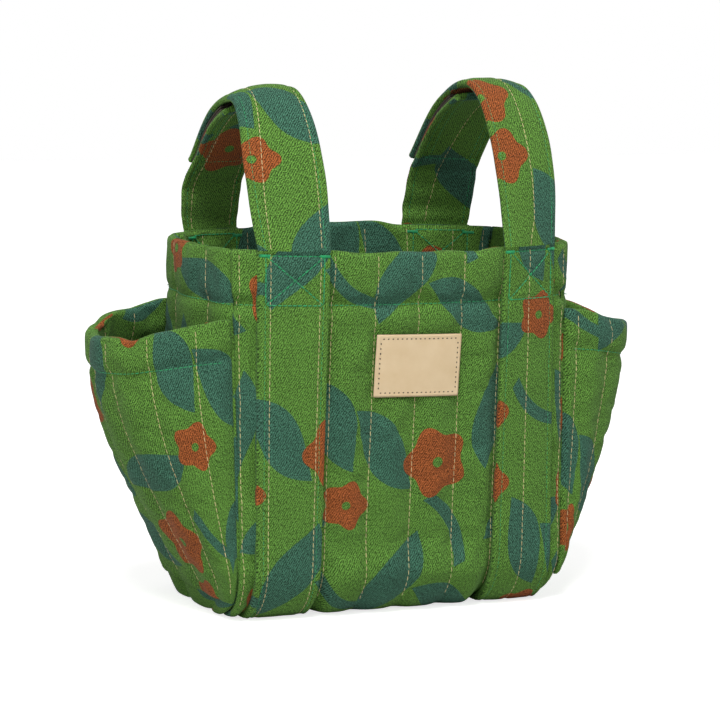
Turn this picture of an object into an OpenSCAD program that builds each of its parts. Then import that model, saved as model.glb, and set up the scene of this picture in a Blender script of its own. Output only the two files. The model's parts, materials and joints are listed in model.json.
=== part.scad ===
// Open-topped caddy bag in quilted cotton cloth, with a flared pocket on each side
// and two carrying straps that close on short back tabs with hook and loop tape.
// x runs to the right, y to the back, z up. The origin is the middle of the base.

/* [Body] */
// Height of the body from the base to the rim
body_h = 205; // [190:1:220]
// Half width of the body at the rim
rim_half_w = 104.4; // [100:0.2:108]
// Half width of the body at the base
base_half_w = 100.4; // [98:0.2:104]
// Half depth at the side seams, at the rim
rim_half_d = 46; // [42:1:50]
// Half depth at the side seams, at the base
base_half_d = 61; // [58:1:64]
// How far the front and the back bow out at the rim
rim_bow = 24.7; // [20:0.1:28]
// Power of the bow's curve across the width
bow_power = 2.2; // [2:0.1:2.6]
// Thickness of a quilted panel
cloth_t = 5; // [4:0.5:6]
// Thickness of the folded hem
hem_t = 6.5; // [6:0.5:8]
// Height of the hem below the rim
hem_h = 30; // [25:1:35]

/* [Turned lower edge] */
// How far the front and the back turn in under the base
turn_d = 31; // [26:1:34]
// Height of the turn
turn_h = 32; // [28:1:36]
// How far the ends draw in towards the base
turn_w = 8.5; // [6:0.5:8.5]

/* [Side pockets] */
// Height of the pocket rim at the seams
pocket_seam_h = 165; // [155:1:172]
// How far the pocket rim dips at its middle
pocket_dip = 11; // [6:1:16]
// How far the pocket rim stands out from the body
pocket_out = 61; // [50:1:66]
// Height of the pocket's lower end
pocket_low = 18; // [14:1:24]
// Thickness of a pocket's quilted cloth
pocket_t = 4.5; // [4:0.5:5]
// Power of the pocket's rounded outline, seen from above
pocket_power = 2.3; // [2:0.1:2.6]
// Height of the pocket's hem
pocket_hem_h = 21; // [18:1:24]

/* [Carrying straps] */
// Distance from the middle of the bag to a strap's inner edge
strap_in = 53; // [50:0.5:55]
// Width of a strap
strap_w = 37.5; // [35:0.5:37.5]
// Thickness of a padded strap
strap_t = 4; // [3.5:0.1:4.5]
// Thickness of the strap where it is sewn down on the body
band_t = 3.5; // [3:0.1:4]
// Height of a strap above the rim
arch_h = 87.5; // [84:0.5:92]
// Thickness of a back tab
tab_t = 3.8; // [3.5:0.1:4.5]

/* [Hook and loop closure] */
// Thickness of each tape
tape_t = 1.2; // [1:0.1:1.4]
// Margin between a tape and the strap's edges, as a share of the strap's width
tape_margin = 0.12; // [0.08:0.01:0.2]
// Gap left between the two tapes
tape_gap = 0.4; // [0.3:0.1:0.6]

/* [Label] */
// Width of the leather label
label_w = 52; // [40:1:60]
// Height of the label
label_h = 35; // [25:1:40]
// Thickness of the label
label_t = 1.6; // [1.2:0.1:2]
// Height of the label's middle above the base
label_z = 141; // [130:1:150]

/* [Stitching] */
// Width of a sewn line
thread_w = 1; // [0.8:0.1:1.4]
// How far a sewn line stands up
thread_h = 0.6; // [0.4:0.1:0.8]
// Distance from a sewn line to the edge that it follows
stitch_in = 3; // [2:0.5:4]

/* [Hidden] */
cloth_green = "#5A8C3A";
strap_green = "#4F8436";
thread_green = "#1E9A63";
tape_brown = "#4A3F33";
leather_tan = "#D9BE93";
// Gap between pieces that lie on each other
lay = 0.1;
// Gap between pieces that part at a hinge
part_gap = 0.4;
// Gap between a front band and its strap, which folds out over the band's bulge
fold_gap = 1;
strap_out = strap_in + strap_w;
label_x = 0.5;
rim_round = 1.5;
turn_steps = 8;
// Columns across a strap, and columns between the straps
strap_cols = 4;
mid_cols = 4;

function mix(a, b, k) = a + (b - a) * k;
function half_w(z) = mix(base_half_w, rim_half_w, z / body_h);
function half_d(z) = mix(base_half_d, rim_half_d, z / body_h);
function unit(v) = v / norm(v);

// Depth of the wall's outer face from the middle plane, above the turn
function wall_d(x, z) =
    half_d(z) + rim_bow * z / body_h * (1 - pow(min(1, abs(x) / half_w(z)), bow_power));

// Rows of a wall from the rim down, each [height, angle round the turn,
// inset of the rounded rim, thickness]
wall_rows = concat(
    [
        [body_h, 0, rim_round, hem_t],
        [body_h - 2, 0, 0, hem_t],
        [body_h - hem_h + 2, 0, 0, hem_t],
        [body_h - hem_h, 0, 0, cloth_t]
    ],
    [for (i = [1:2]) [mix(body_h - hem_h, turn_h, i / 3), 0, 0, cloth_t]],
    [for (i = [0:turn_steps]) let (e = 90 * i / turn_steps)
        [turn_h * (1 - sin(e)), e, 0, cloth_t]]
);
last_row = len(wall_rows) - 1;
// The sewn strap bands stop on this row, just above the ground
band_last_row = last_row - 3;

// Half width of the body on a row
function row_half_w(row) = half_w(row[0]) - turn_w * (1 - cos(row[1]));

// A point of the front wall, offset outwards by off
function wall_point(x, row, off) =
    let (e = row[1])
    [
        x,
        -(wall_d(x, row[0]) - (turn_d + off) * (1 - cos(e)) + off),
        (e == 0 ? row[0] : turn_h - (turn_h + off) * sin(e))
    ];

// Positions across the width: columns that the strap bands share, then the seams
half_cols = concat(
    [for (i = [1:mid_cols]) strap_in * i / mid_cols],
    [for (i = [1:strap_cols]) mix(strap_in, strap_out, i / strap_cols)]
);
inner_cols = concat([for (i = [len(half_cols) - 1:-1:0]) -half_cols[i]], [0], half_cols);
function row_cols(row) = concat([-row_half_w(row)], inner_cols, [row_half_w(row)]);

// A closed solid between two faces given as equal grids of points
module shell(outer, inner) {
    rows = len(outer);
    cols = len(outer[0]);
    n = rows * cols;
    function at(r, c) = r * cols + c;
    quads = [for (r = [0:rows - 2], c = [0:cols - 2])
        [at(r, c), at(r, c + 1), at(r + 1, c + 1), at(r + 1, c)]];
    outer_faces = [for (q = quads, h = [0, 1]) h == 0 ? [q[0], q[1], q[2]] : [q[0], q[2], q[3]]];
    inner_faces = [for (f = outer_faces) [f[2] + n, f[1] + n, f[0] + n]];
    loop = concat(
        [for (c = [0:cols - 2]) at(0, c)],
        [for (r = [0:rows - 2]) at(r, cols - 1)],
        [for (c = [cols - 1:-1:1]) at(rows - 1, c)],
        [for (r = [rows - 1:-1:1]) at(r, 0)]
    );
    rim_faces = [for (i = [0:len(loop) - 1], h = [0, 1])
        let (a = loop[i], b = loop[(i + 1) % len(loop)])
        h == 0 ? [b, a, a + n] : [b, a + n, b + n]];
    polyhedron(
        points = concat([for (r = outer, p = r) p], [for (r = inner, p = r) p]),
        faces = concat(outer_faces, inner_faces, rim_faces)
    );
}

// The front wall from the rim to the edge of the base
module wall() {
    shell(
        [for (row = wall_rows) [for (x = row_cols(row)) wall_point(x, row, -row[2])]],
        [for (row = wall_rows) [for (x = row_cols(row)) wall_point(x, row, row[2] - row[3])]]
    );
}

module front_panel() {
    color(cloth_green) wall();
}

module back_panel() {
    color(cloth_green) mirror([0, 1, 0]) wall();
}

module base_panel() {
    base_w = 2 * (base_half_w - turn_w);
    base_d = 2 * (base_half_d - turn_d);
    color(cloth_green)
        translate([-base_w / 2, -base_d / 2, 0]) cube([base_w, base_d, cloth_t]);
}

// The right side panel: flat, with a rounded lower end that follows the turn
module side_wall() {
    function edge(row) = -wall_point(row_half_w(row), row, row[2] - row[3]).y;
    function height(row) = wall_point(0, row, row[1] == 0 ? 0 : -row[3]).z;
    function face(in) = [for (row = wall_rows) [for (k = [-1, 0, 1])
        [row_half_w(row) - in * row[3] + (in == 0 ? -1 : 1) * row[2], k * edge(row), height(row)]]];
    shell(face(0), face(1));
}

module left_side_panel() {
    color(cloth_green) mirror([1, 0, 0]) side_wall();
}

module right_side_panel() {
    color(cloth_green) side_wall();
}

// Height and outline of the right pocket: turn runs from the front seam (0)
// to the back seam (180), up from the lower end (0) to the rim (1)
function turn_angle(z) = z >= turn_h ? 0 : asin((turn_h - z) / turn_h);
function pocket_z(turn, up) =
    mix(pocket_low, pocket_seam_h - pocket_dip * pow(sin(turn), 1.5), up);
function pocket_reach(up) = mix(pocket_t + part_gap, pocket_out, pow(sin(90 * up), 0.88));
function pocket_point(turn, up, off) =
    let (
        z = pocket_z(turn, up),
        e = turn_angle(z),
        seam_w = half_w(z) - turn_w * (1 - cos(e)) + lay,
        seam_d = half_d(z) - turn_d * (1 - cos(e)),
        k = 2 / pocket_power
    )
    [
        seam_w + (pocket_reach(up) + off) * pow(max(0, sin(turn)), k),
        -(seam_d + off) * sign(cos(turn)) * pow(abs(cos(turn)), k),
        z
    ];
pocket_turns = [for (i = [0:18]) 10 * i];
pocket_hem_up = 1 - pocket_hem_h / (pocket_seam_h - pocket_low);
pocket_rows = concat([1, pocket_hem_up], [0.7, 0.52, 0.35, 0.2, 0.08, 0]);

module pocket() {
    shell(
        [for (up = pocket_rows) [for (turn = pocket_turns) pocket_point(turn, up, 0)]],
        [for (up = pocket_rows) [for (turn = pocket_turns) pocket_point(turn, up, -pocket_t)]]
    );
}

module left_pocket() {
    color(cloth_green) mirror([1, 0, 0]) pocket();
}

module right_pocket() {
    color(cloth_green) pocket();
}

// A strap sewn down on the front wall, from the rim to the turned lower edge
module band() {
    cols = [for (i = [0:strap_cols]) mix(strap_in, strap_out, i / strap_cols)];
    rows = [for (i = [0:band_last_row]) wall_rows[i]];
    shell(
        [for (row = rows) [for (x = cols) wall_point(x, row, lay + band_t)]],
        [for (row = rows) [for (x = cols) wall_point(x, row, lay)]]
    );
}

module front_left_band() {
    color(strap_green) mirror([1, 0, 0]) band();
}

module front_right_band() {
    color(strap_green) band();
}

module back_left_band() {
    color(strap_green) mirror([1, 0, 0]) mirror([0, 1, 0]) band();
}

module back_right_band() {
    color(strap_green) mirror([0, 1, 0]) band();
}

// The strap's outer face at its inner edge, as [y, height above the rim]: two
// smooth stretches that meet at the top of the arch
root_y = wall_d(strap_in, body_h) + lay + band_t;
front_rise = [[-root_y, fold_gap], [-60, 32], [-42, arch_h], [-10, arch_h]];
rear_fall = [[-10, arch_h], [14, arch_h], [40, 62], [60.6, 42]];
// Both edges run at the same height; the outer edge is nearer the middle plane
edge_share = (wall_d(strap_out, body_h) + lay + band_t) / root_y;

function curve(p, t) =
    pow(1 - t, 3) * p[0] + 3 * pow(1 - t, 2) * t * p[1]
    + 3 * (1 - t) * t * t * p[2] + pow(t, 3) * p[3];
function heading(p, t) = unit(
    pow(1 - t, 2) * (p[1] - p[0]) + 2 * (1 - t) * t * (p[2] - p[1]) + t * t * (p[3] - p[2])
);
// Outward normal of a stretch that runs from the front to the back
function outward(p, t) = let (h = heading(p, t)) [-h.y, h.x];
function trace(p, from, to, steps) =
    [for (i = [0:steps]) let (t = mix(from, to, i / steps)) [curve(p, t), outward(p, t)]];

// The tab's outer face: it rises from the back rim, then lies under the strap
tab_depth = strap_t + lay + 2 * tape_t + tape_gap + lay;
tab_top_t = 0.24;
tape_top_t = 0.3;
tape_low_t = 0.97;
tab_bend = curve(rear_fall, 1) - tab_depth * outward(rear_fall, 1);
tab_rise = [
    tab_bend,
    tab_bend + 8 * heading(rear_fall, 1),
    [root_y - 1, 16],
    [root_y, part_gap]
];
tab_trace = concat(
    [for (s = trace(rear_fall, tab_top_t, 0.94, 8)) [s[0] - tab_depth * s[1], s[1]]],
    trace(tab_rise, 0, 1, 7)
);

// A ribbon along a trace, between two offsets and two shares of the strap's width
module ribbon(steps, low, high, margin) {
    function at(s, e, off) =
        let (p = s[0] + off * s[1])
        [mix(strap_in, strap_out, e), p.x * mix(1, edge_share, e), body_h + p.y];
    function face(off) = [for (s = steps) [for (e = [1 - margin, margin]) at(s, e, off)]];
    shell(face(high), face(low));
}

// The riser's lower end is cut level, a little above the band that it grows from
module riser() {
    ribbon(
        concat([[front_rise[0], [-1, 0]]], trace(front_rise, 1 / 12, 1, 11)),
        -strap_t, 0, 0
    );
}

module flap() {
    ribbon(trace(rear_fall, 0.004, 1, 12), -strap_t, 0, 0);
}

module hook_tape() {
    top = -strap_t - lay;
    ribbon(trace(rear_fall, tape_top_t, tape_low_t, 8), top - tape_t, top, tape_margin);
}

module loop_tape() {
    low = -tab_depth + lay;
    ribbon(trace(rear_fall, tape_top_t, 0.93, 8), low, low + tape_t, tape_margin);
}

module tab() {
    ribbon(tab_trace, -tab_t, 0, 0);
}

module left_strap() {
    color(strap_green) mirror([1, 0, 0]) riser();
}

module right_strap() {
    color(strap_green) riser();
}

module left_strap_end() {
    color(strap_green) mirror([1, 0, 0]) flap();
}

module right_strap_end() {
    color(strap_green) flap();
}

module left_hook_tape() {
    color(tape_brown) mirror([1, 0, 0]) hook_tape();
}

module right_hook_tape() {
    color(tape_brown) hook_tape();
}

module left_tab() {
    color(strap_green) mirror([1, 0, 0]) tab();
}

module right_tab() {
    color(strap_green) tab();
}

module left_loop_tape() {
    color(tape_brown) mirror([1, 0, 0]) loop_tape();
}

module right_loop_tape() {
    color(tape_brown) loop_tape();
}

// A point above the turn of the front wall, by its height
function front_point(x, z, off) = [x, -(wall_d(x, z) + off), z];

module leather_label() {
    function face(off) = [for (k = [0.5, -0.5]) [for (i = [0:6])
        front_point(label_x + label_w * (i / 6 - 0.5), label_z + label_h * k, off)]];
    color(leather_tan) shell(face(3 * lay + label_t), face(3 * lay));
}

// A sewn line on the front wall from one [x, z] to another
module sewn_line(from, to, off, width = thread_w, pieces = 5) {
    side = unit([from.y - to.y, to.x - from.x]) * width / 2;
    function face(h) = [for (k = [1, -1]) [for (i = [0:pieces])
        let (p = mix(from, to, i / pieces) + k * side) front_point(p.x, p.y, h)]];
    shell(face(off + thread_h), face(off));
}

// The four lines of a box
module sewn_box(x0, x1, z0, z1, off, pieces) {
    half = thread_w / 2;
    sewn_line([x0 - half, z1], [x1 + half, z1], off, pieces = pieces);
    sewn_line([x0 - half, z0], [x1 + half, z0], off, pieces = pieces);
    sewn_line([x0, z0 + half + lay], [x0, z1 - half - lay], off, pieces = 1);
    sewn_line([x1 - thread_w, z0 + half + lay], [x1 - thread_w, z1 - half - lay], off, pieces = 1);
}

module label_stitching() {
    x_half = label_w / 2 - stitch_in + 0.5;
    z_half = label_h / 2 - stitch_in + 0.5;
    off = 4 * lay + label_t;
    color("#5A3D26")
        sewn_box(label_x - x_half, label_x + x_half, label_z - z_half, label_z + z_half, off, 5);
}

// The seam line round the lower edge of the hem, between the strap bands
module rim_stitching() {
    z = body_h - hem_h - 1;
    edge = half_w(z) - 1;
    spans = [[-edge, -strap_out - 1], [1 - strap_in, strap_in - 1], [strap_out + 1, edge]];
    color(thread_green) {
        for (k = [0, 1], s = spans)
            mirror([0, k, 0]) sewn_line([s[0], z], [s[1], z], 2 * lay, pieces = 8);
        for (k = [0, 1])
            mirror([k, 0, 0])
                translate([half_w(z) + 2 * lay, -half_d(z) + 8, z])
                    cube([thread_h, 2 * half_d(z) - 16, thread_w]);
    }
}

// The seam line below each pocket's hem
module pocket_stitching() {
    function face(off) = [for (k = [0, -thread_w]) [for (turn = [10:10:170])
        pocket_point(turn, pocket_hem_up, off) + [0, 0, k]]];
    color(thread_green)
        for (k = [0, 1]) mirror([k, 0, 0]) shell(face(2 * lay + thread_h), face(2 * lay));
}

// The sewn box with a cross that holds each strap at the rim, front and back
module strap_box_stitching() {
    x0 = strap_in + stitch_in;
    x1 = strap_out - stitch_in;
    z0 = body_h - hem_h + 1;
    z1 = body_h - 5;
    off = 3 * lay + band_t;
    cross = 2.2;
    mid = [(x0 + x1) / 2, (z0 + z1) / 2];
    color(thread_green)
        for (i = [0, 1], j = [0, 1]) mirror([i, 0, 0]) mirror([0, j, 0]) {
            sewn_box(x0, x1, z0, z1, off, 4);
            for (c = [[x0, z0], [x1, z0], [x0, z1], [x1, z1]])
                sewn_line(mix(mid, c, 0.08), mix(c, mid, cross / 20), off, pieces = 3);
        }
}

// Dense stitches across the top corners of each front strap
module bar_tacks() {
    tack_w = 6;
    off = 3 * lay + band_t;
    color(thread_green)
        for (i = [0, 1], x = [strap_in + 0.5, strap_out - tack_w - 0.5])
            mirror([i, 0, 0])
                sewn_line([x, body_h - 2.6], [x + tack_w, body_h - 2.6], off, 2.4, 2);
}

front_panel();
back_panel();
base_panel();
left_side_panel();
right_side_panel();
left_pocket();
right_pocket();
front_left_band();
front_right_band();
back_left_band();
back_right_band();
left_strap();
right_strap();
left_strap_end();
right_strap_end();
left_hook_tape();
right_hook_tape();
left_tab();
right_tab();
left_loop_tape();
right_loop_tape();
leather_label();
label_stitching();
rim_stitching();
pocket_stitching();
strap_box_stitching();
bar_tacks();
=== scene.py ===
"""A quilted cotton caddy bag with side pockets and hook-and-loop carrying straps."""

import json
import logging
import math
from dataclasses import dataclass, field
from enum import Enum
from functools import partial
from typing import Callable, Iterable, Sequence

import bpy
import numpy as np
from bpy.types import Material, MeshEdge, Node, NodeSocket, NodeTree, Object
from mathutils import Matrix, Vector, noise
from mathutils.bvhtree import BVHTree

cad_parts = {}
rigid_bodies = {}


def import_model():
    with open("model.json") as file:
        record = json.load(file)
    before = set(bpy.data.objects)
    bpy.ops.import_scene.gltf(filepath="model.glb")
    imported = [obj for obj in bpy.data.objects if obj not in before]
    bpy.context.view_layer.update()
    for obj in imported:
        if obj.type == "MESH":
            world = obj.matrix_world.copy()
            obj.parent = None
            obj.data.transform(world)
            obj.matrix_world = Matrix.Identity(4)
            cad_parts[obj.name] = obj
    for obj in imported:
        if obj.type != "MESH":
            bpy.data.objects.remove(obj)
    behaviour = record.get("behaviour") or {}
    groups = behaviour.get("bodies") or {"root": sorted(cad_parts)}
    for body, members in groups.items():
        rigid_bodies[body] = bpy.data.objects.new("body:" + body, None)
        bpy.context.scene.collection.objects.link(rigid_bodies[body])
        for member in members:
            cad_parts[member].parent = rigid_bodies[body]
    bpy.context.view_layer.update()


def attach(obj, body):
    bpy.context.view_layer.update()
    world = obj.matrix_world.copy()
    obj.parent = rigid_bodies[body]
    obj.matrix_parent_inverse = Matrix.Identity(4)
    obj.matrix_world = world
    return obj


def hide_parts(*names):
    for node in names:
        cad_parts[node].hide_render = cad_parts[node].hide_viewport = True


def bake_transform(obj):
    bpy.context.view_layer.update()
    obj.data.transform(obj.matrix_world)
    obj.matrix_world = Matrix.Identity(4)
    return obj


MM = 0.001
LOG = logging.getLogger("caddy_bag")
Grid = np.ndarray
Line = Callable[[float], tuple[Grid, Grid]]


class Choice(Enum):
    """A choice whose name goes into the names of pieces."""

    @property
    def word(self) -> str:
        """The choice's name in lower case."""
        return self.name.lower()


class Side(Choice):
    """Left or right of the bag, as the sign of x."""

    LEFT = -1
    RIGHT = 1


class Face(Choice):
    """Front or back of the bag, as the sign of y."""

    FRONT = -1
    BACK = 1


# Small helpers


def smooth(x: Grid | float) -> Grid | float:
    """Smooth step of a value clipped to 0..1."""
    x = np.clip(x, 0.0, 1.0)
    return x * x * (3 - 2 * x)


def mix(a: Grid | float, b: Grid | float, k: Grid | float) -> Grid | float:
    """Linear blend from a to b."""
    return a + (b - a) * k


def rolled(x: Grid, radius: float) -> Grid:
    """Drop of a rounded edge at a distance in from it."""
    return radius * (1 - np.sqrt(np.clip(1 - (1 - np.clip(x / radius, 0, 1)) ** 2, 0, 1)))


def bump_at(x: Grid, centre: float, width: float) -> Grid:
    """A bell of height 1 round a centre."""
    return np.exp(-(((x - centre) / width) ** 2))


def unit(v: Grid) -> Grid:
    """Vectors along the last axis, made one long."""
    return v / np.maximum(np.linalg.norm(v, axis=-1, keepdims=True), 1e-12)


def ripple(a: Grid, b: Grid, seed: float) -> Grid:
    """Smooth noise of two coordinates, about -1 to 1, the same on every run.

    Args:
        a: First coordinate, in wavelengths.
        b: Second coordinate, in wavelengths.
        seed: Third coordinate, which tells one surface from another.

    Returns:
        The noise at each point, in the shape of a.
    """
    a, b = np.broadcast_arrays(a, b)
    flat = [noise.noise((p, q, seed)) for p, q in zip(a.ravel(), b.ravel())]
    return np.array(flat).reshape(a.shape)


def stations(breaks: Sequence[float], step: float) -> Grid:
    """Positions that include every break, evenly spaced between them.

    Args:
        breaks: Positions that must be kept, in order.
        step: The widest spacing between two positions.

    Returns:
        All positions, in order.
    """
    parts = []
    for low, high in zip(breaks[:-1], breaks[1:]):
        count = max(1, math.ceil((high - low) / step - 1e-6))
        parts.append(np.linspace(low, high, count + 1)[:-1])
    return np.append(np.concatenate(parts), breaks[-1])


def near(values: Grid, marks: Iterable[float], reach: float = 0.05) -> Grid:
    """Whether each value lies on one of the marks."""
    found = np.zeros(values.shape, bool)
    for mark in marks:
        found |= np.abs(values - mark) < reach
    return found


# Finishes


def linear(code: str) -> tuple[float, float, float, float]:
    """An sRGB hex colour as linear red, green, blue and an alpha of 1."""
    parts = [int(code[i : i + 2], 16) / 255 for i in (1, 3, 5)]
    lin = [c / 12.92 if c <= 0.04045 else ((c + 0.055) / 1.055) ** 2.4 for c in parts]
    return (lin[0], lin[1], lin[2], 1.0)


def add_node(tree: NodeTree, kind: str, values: dict | tuple = (), **settings: object) -> Node:
    """Adds a shader node with its settings, and links or fills its inputs.

    Args:
        tree: The node tree.
        kind: The node's type without its "ShaderNode" start.
        values: What goes into its inputs, in their order or by name or number: a plain
            value, an output socket, or a node, which gives its first output.
        **settings: Properties of the node itself.

    Returns:
        The new node.
    """
    node = tree.nodes.new("ShaderNode" + kind)
    for key, value in settings.items():
        setattr(node, key, value)
    pairs = values.items() if isinstance(values, dict) else enumerate(values)
    for key, value in pairs:
        if isinstance(value, Node):
            value = value.outputs[0]
        if isinstance(value, NodeSocket):
            tree.links.new(value, node.inputs[key])
        else:
            node.inputs[key].default_value = value
    return node


def start_material(name: str) -> tuple[Material, NodeTree, Node]:
    """Starts a material with one Principled shader.

    Args:
        name: Name of the material.

    Returns:
        The material, its node tree and the shader.
    """
    material = bpy.data.materials.new(name)
    material.use_nodes = True
    tree = material.node_tree
    tree.nodes.clear()
    shader = add_node(tree, "BsdfPrincipled")
    add_node(tree, "OutputMaterial", {"Surface": shader.outputs[0]})
    return material, tree, shader


def finish_shader(
    tree: NodeTree,
    shader: Node,
    colour: object,
    tone: object,
    height: object,
    bump: tuple[float, float],
    gloss: dict[str, float],
) -> None:
    """Gives a shader its toned colour, its bump and its plain numbers.

    Args:
        tree: The material's node tree.
        shader: The Principled shader.
        colour: Plain colour or socket.
        tone: What the colour is multiplied by.
        height: Height of the bump.
        bump: Strength of the bump, and its depth in millimetres.
        gloss: Names and values of the shader's own inputs.
    """
    toned = add_node(tree, "VectorMath", {0: colour, "Scale": tone}, operation="SCALE")
    tree.links.new(toned.outputs[0], shader.inputs["Base Color"])
    values = {"Height": height, "Strength": bump[0], "Distance": bump[1] * MM}
    tree.links.new(add_node(tree, "Bump", values).outputs[0], shader.inputs["Normal"])
    for key, value in gloss.items():
        shader.inputs[key].default_value = value


class MotifKind(Enum):
    """The shapes of the print."""

    LEAF = "leaf"
    BLOSSOM = "blossom"
    TWIG = "twig"


@dataclass(frozen=True)
class Motif:
    """One shape of the repeating print, in millimetres of cloth.

    Attributes:
        kind: Which shape it is.
        u: Place across the repeat.
        v: Place up the repeat.
        turn: Angle in degrees.
        length: Half length, or a blossom's radius.
        width: Half width, or a blossom's eye radius.
        lobes: How many petals a blossom has.
        lobe_depth: How far a petal stands out, as a share of the radius.
        bow: How far a twig's end bends up, as a share of its length.
        twist: How far a leaf's halves swing to either side, as a share of its length.
    """

    kind: MotifKind
    u: float
    v: float
    turn: float
    length: float
    width: float
    lobes: float = 5.0
    lobe_depth: float = 0.13
    bow: float = 0.3
    twist: float = 0.22

    def mask(self, tree: NodeTree, place: object, repeat: tuple) -> Node:
        """Builds the shape's mask.

        Args:
            tree: The material's node tree.
            place: Socket with the place on the cloth, in millimetres.
            repeat: Width and height of the repeat.

        Returns:
            A node that gives 1 inside the shape and 0 outside.
        """
        away = add_node(tree, "VectorMath", (place, (self.u, self.v, 0)), operation="SUBTRACT")
        half = (repeat[0] / 2, repeat[1] / 2, 1.0)
        low = (-half[0], -half[1], -1.0)
        wrapped = add_node(tree, "VectorMath", (away, half, low), operation="WRAP")
        values = {"Vector": wrapped, "Angle": math.radians(-self.turn)}
        turned = add_node(tree, "VectorRotate", values, rotation_type="Z_AXIS")
        x, y = add_node(tree, "SeparateXYZ", (turned,)).outputs[:2]
        if self.kind is MotifKind.BLOSSOM:
            return self._blossom(tree, x, y)
        share = add_node(tree, "Math", (x, self.length), operation="DIVIDE")
        square = add_node(tree, "Math", (share, share), operation="MULTIPLY")
        if self.kind is MotifKind.TWIG:
            bow = add_node(tree, "Math", (square, self.bow * self.length), operation="MULTIPLY")
            y = add_node(tree, "Math", (y, bow), operation="SUBTRACT")
            reach = add_node(tree, "Math", (share,), operation="ABSOLUTE")
            within = add_node(tree, "Math", (reach, 1.0), operation="LESS_THAN")
            away = add_node(tree, "Math", (y,), operation="ABSOLUTE")
            thin = add_node(tree, "Math", (away, self.width), operation="LESS_THAN")
            return add_node(tree, "Math", (within, thin), operation="MULTIPLY")
        full = add_node(tree, "Math", (1.0, square), operation="SUBTRACT")
        edge = add_node(tree, "Math", (full, self.width), operation="MULTIPLY")
        bend = add_node(tree, "Math", (share, full), operation="MULTIPLY")
        lean = add_node(tree, "Math", (bend, self.twist * self.length, y), operation="MULTIPLY_ADD")
        away = add_node(tree, "Math", (lean,), operation="ABSOLUTE")
        return add_node(tree, "Math", (away, edge), operation="LESS_THAN")

    def _blossom(self, tree: NodeTree, x: object, y: object) -> Node:
        """The mask of a lobed blossom round the origin, with an eye in its middle."""
        angle = add_node(tree, "Math", (y, x), operation="ARCTAN2")
        turns = add_node(tree, "Math", (angle, self.lobes), operation="MULTIPLY")
        petals = add_node(tree, "Math", (turns,), operation="COSINE")
        values = (petals, self.lobe_depth * self.length, self.length)
        edge = add_node(tree, "Math", values, operation="MULTIPLY_ADD")
        square = add_node(tree, "Math", (y, y), operation="MULTIPLY")
        square = add_node(tree, "Math", (x, x, square), operation="MULTIPLY_ADD")
        radius = add_node(tree, "Math", (square,), operation="SQRT")
        inside = add_node(tree, "Math", (radius, edge), operation="LESS_THAN")
        eye = add_node(tree, "Math", (radius, self.width), operation="GREATER_THAN")
        return add_node(tree, "Math", (inside, eye), operation="MULTIPLY")


@dataclass(frozen=True)
class Print:
    """A generic print of loose teal leaves and rust blossoms on green.

    Attributes:
        ground: Colour of the ground cloth.
        leaf: Colour of leaves and twigs.
        blossom: Colour of blossoms.
        repeat: Width and height of the repeat, in millimetres.
        leaves: The teal shapes.
        blossoms: The rust shapes.
    """

    ground: str = "#527A32"
    leaf: str = "#38604E"
    blossom: str = "#8B4C26"
    repeat: tuple[float, float] = (150.0, 172.0)
    leaves: tuple[Motif, ...] = (
        Motif(MotifKind.LEAF, 22, 34, 62, 31, 12),
        Motif(MotifKind.LEAF, 60, 16, -28, 28, 11),
        Motif(MotifKind.LEAF, 106, 64, 20, 30, 11.5),
        Motif(MotifKind.LEAF, 14, 108, -52, 29, 12),
        Motif(MotifKind.LEAF, 80, 124, 84, 30, 11),
        Motif(MotifKind.LEAF, 136, 122, -70, 27, 11),
        Motif(MotifKind.TWIG, 58, 64, 118, 22, 3.6),
        Motif(MotifKind.TWIG, 140, 24, -35, 20, 3.6),
    )
    blossoms: tuple[Motif, ...] = (
        Motif(MotifKind.BLOSSOM, 104, 22, 10, 17, 2.8),
        Motif(MotifKind.BLOSSOM, 46, 100, 40, 18, 3.0),
        Motif(MotifKind.BLOSSOM, 142, 78, 70, 12.5, 2.4),
        Motif(MotifKind.BLOSSOM, 108, 156, 0, 15, 2.6),
    )

    def colour(self, tree: NodeTree, place: object) -> NodeSocket:
        """Builds the printed colour.

        Args:
            tree: The material's node tree.
            place: Socket with the place on the cloth, in millimetres.

        Returns:
            The colour socket.
        """
        result = linear(self.ground)
        for motifs, code in ((self.leaves, self.leaf), (self.blossoms, self.blossom)):
            mask = None
            for motif in motifs:
                one = motif.mask(tree, place, self.repeat)
                mask = one if mask is None else add_node(tree, "Math", (mask, one), operation="MAXIMUM")
            values = {0: mask, 6: result, 7: linear(code)}
            result = add_node(tree, "Mix", values, data_type="RGBA").outputs[2]
        return result


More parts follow.
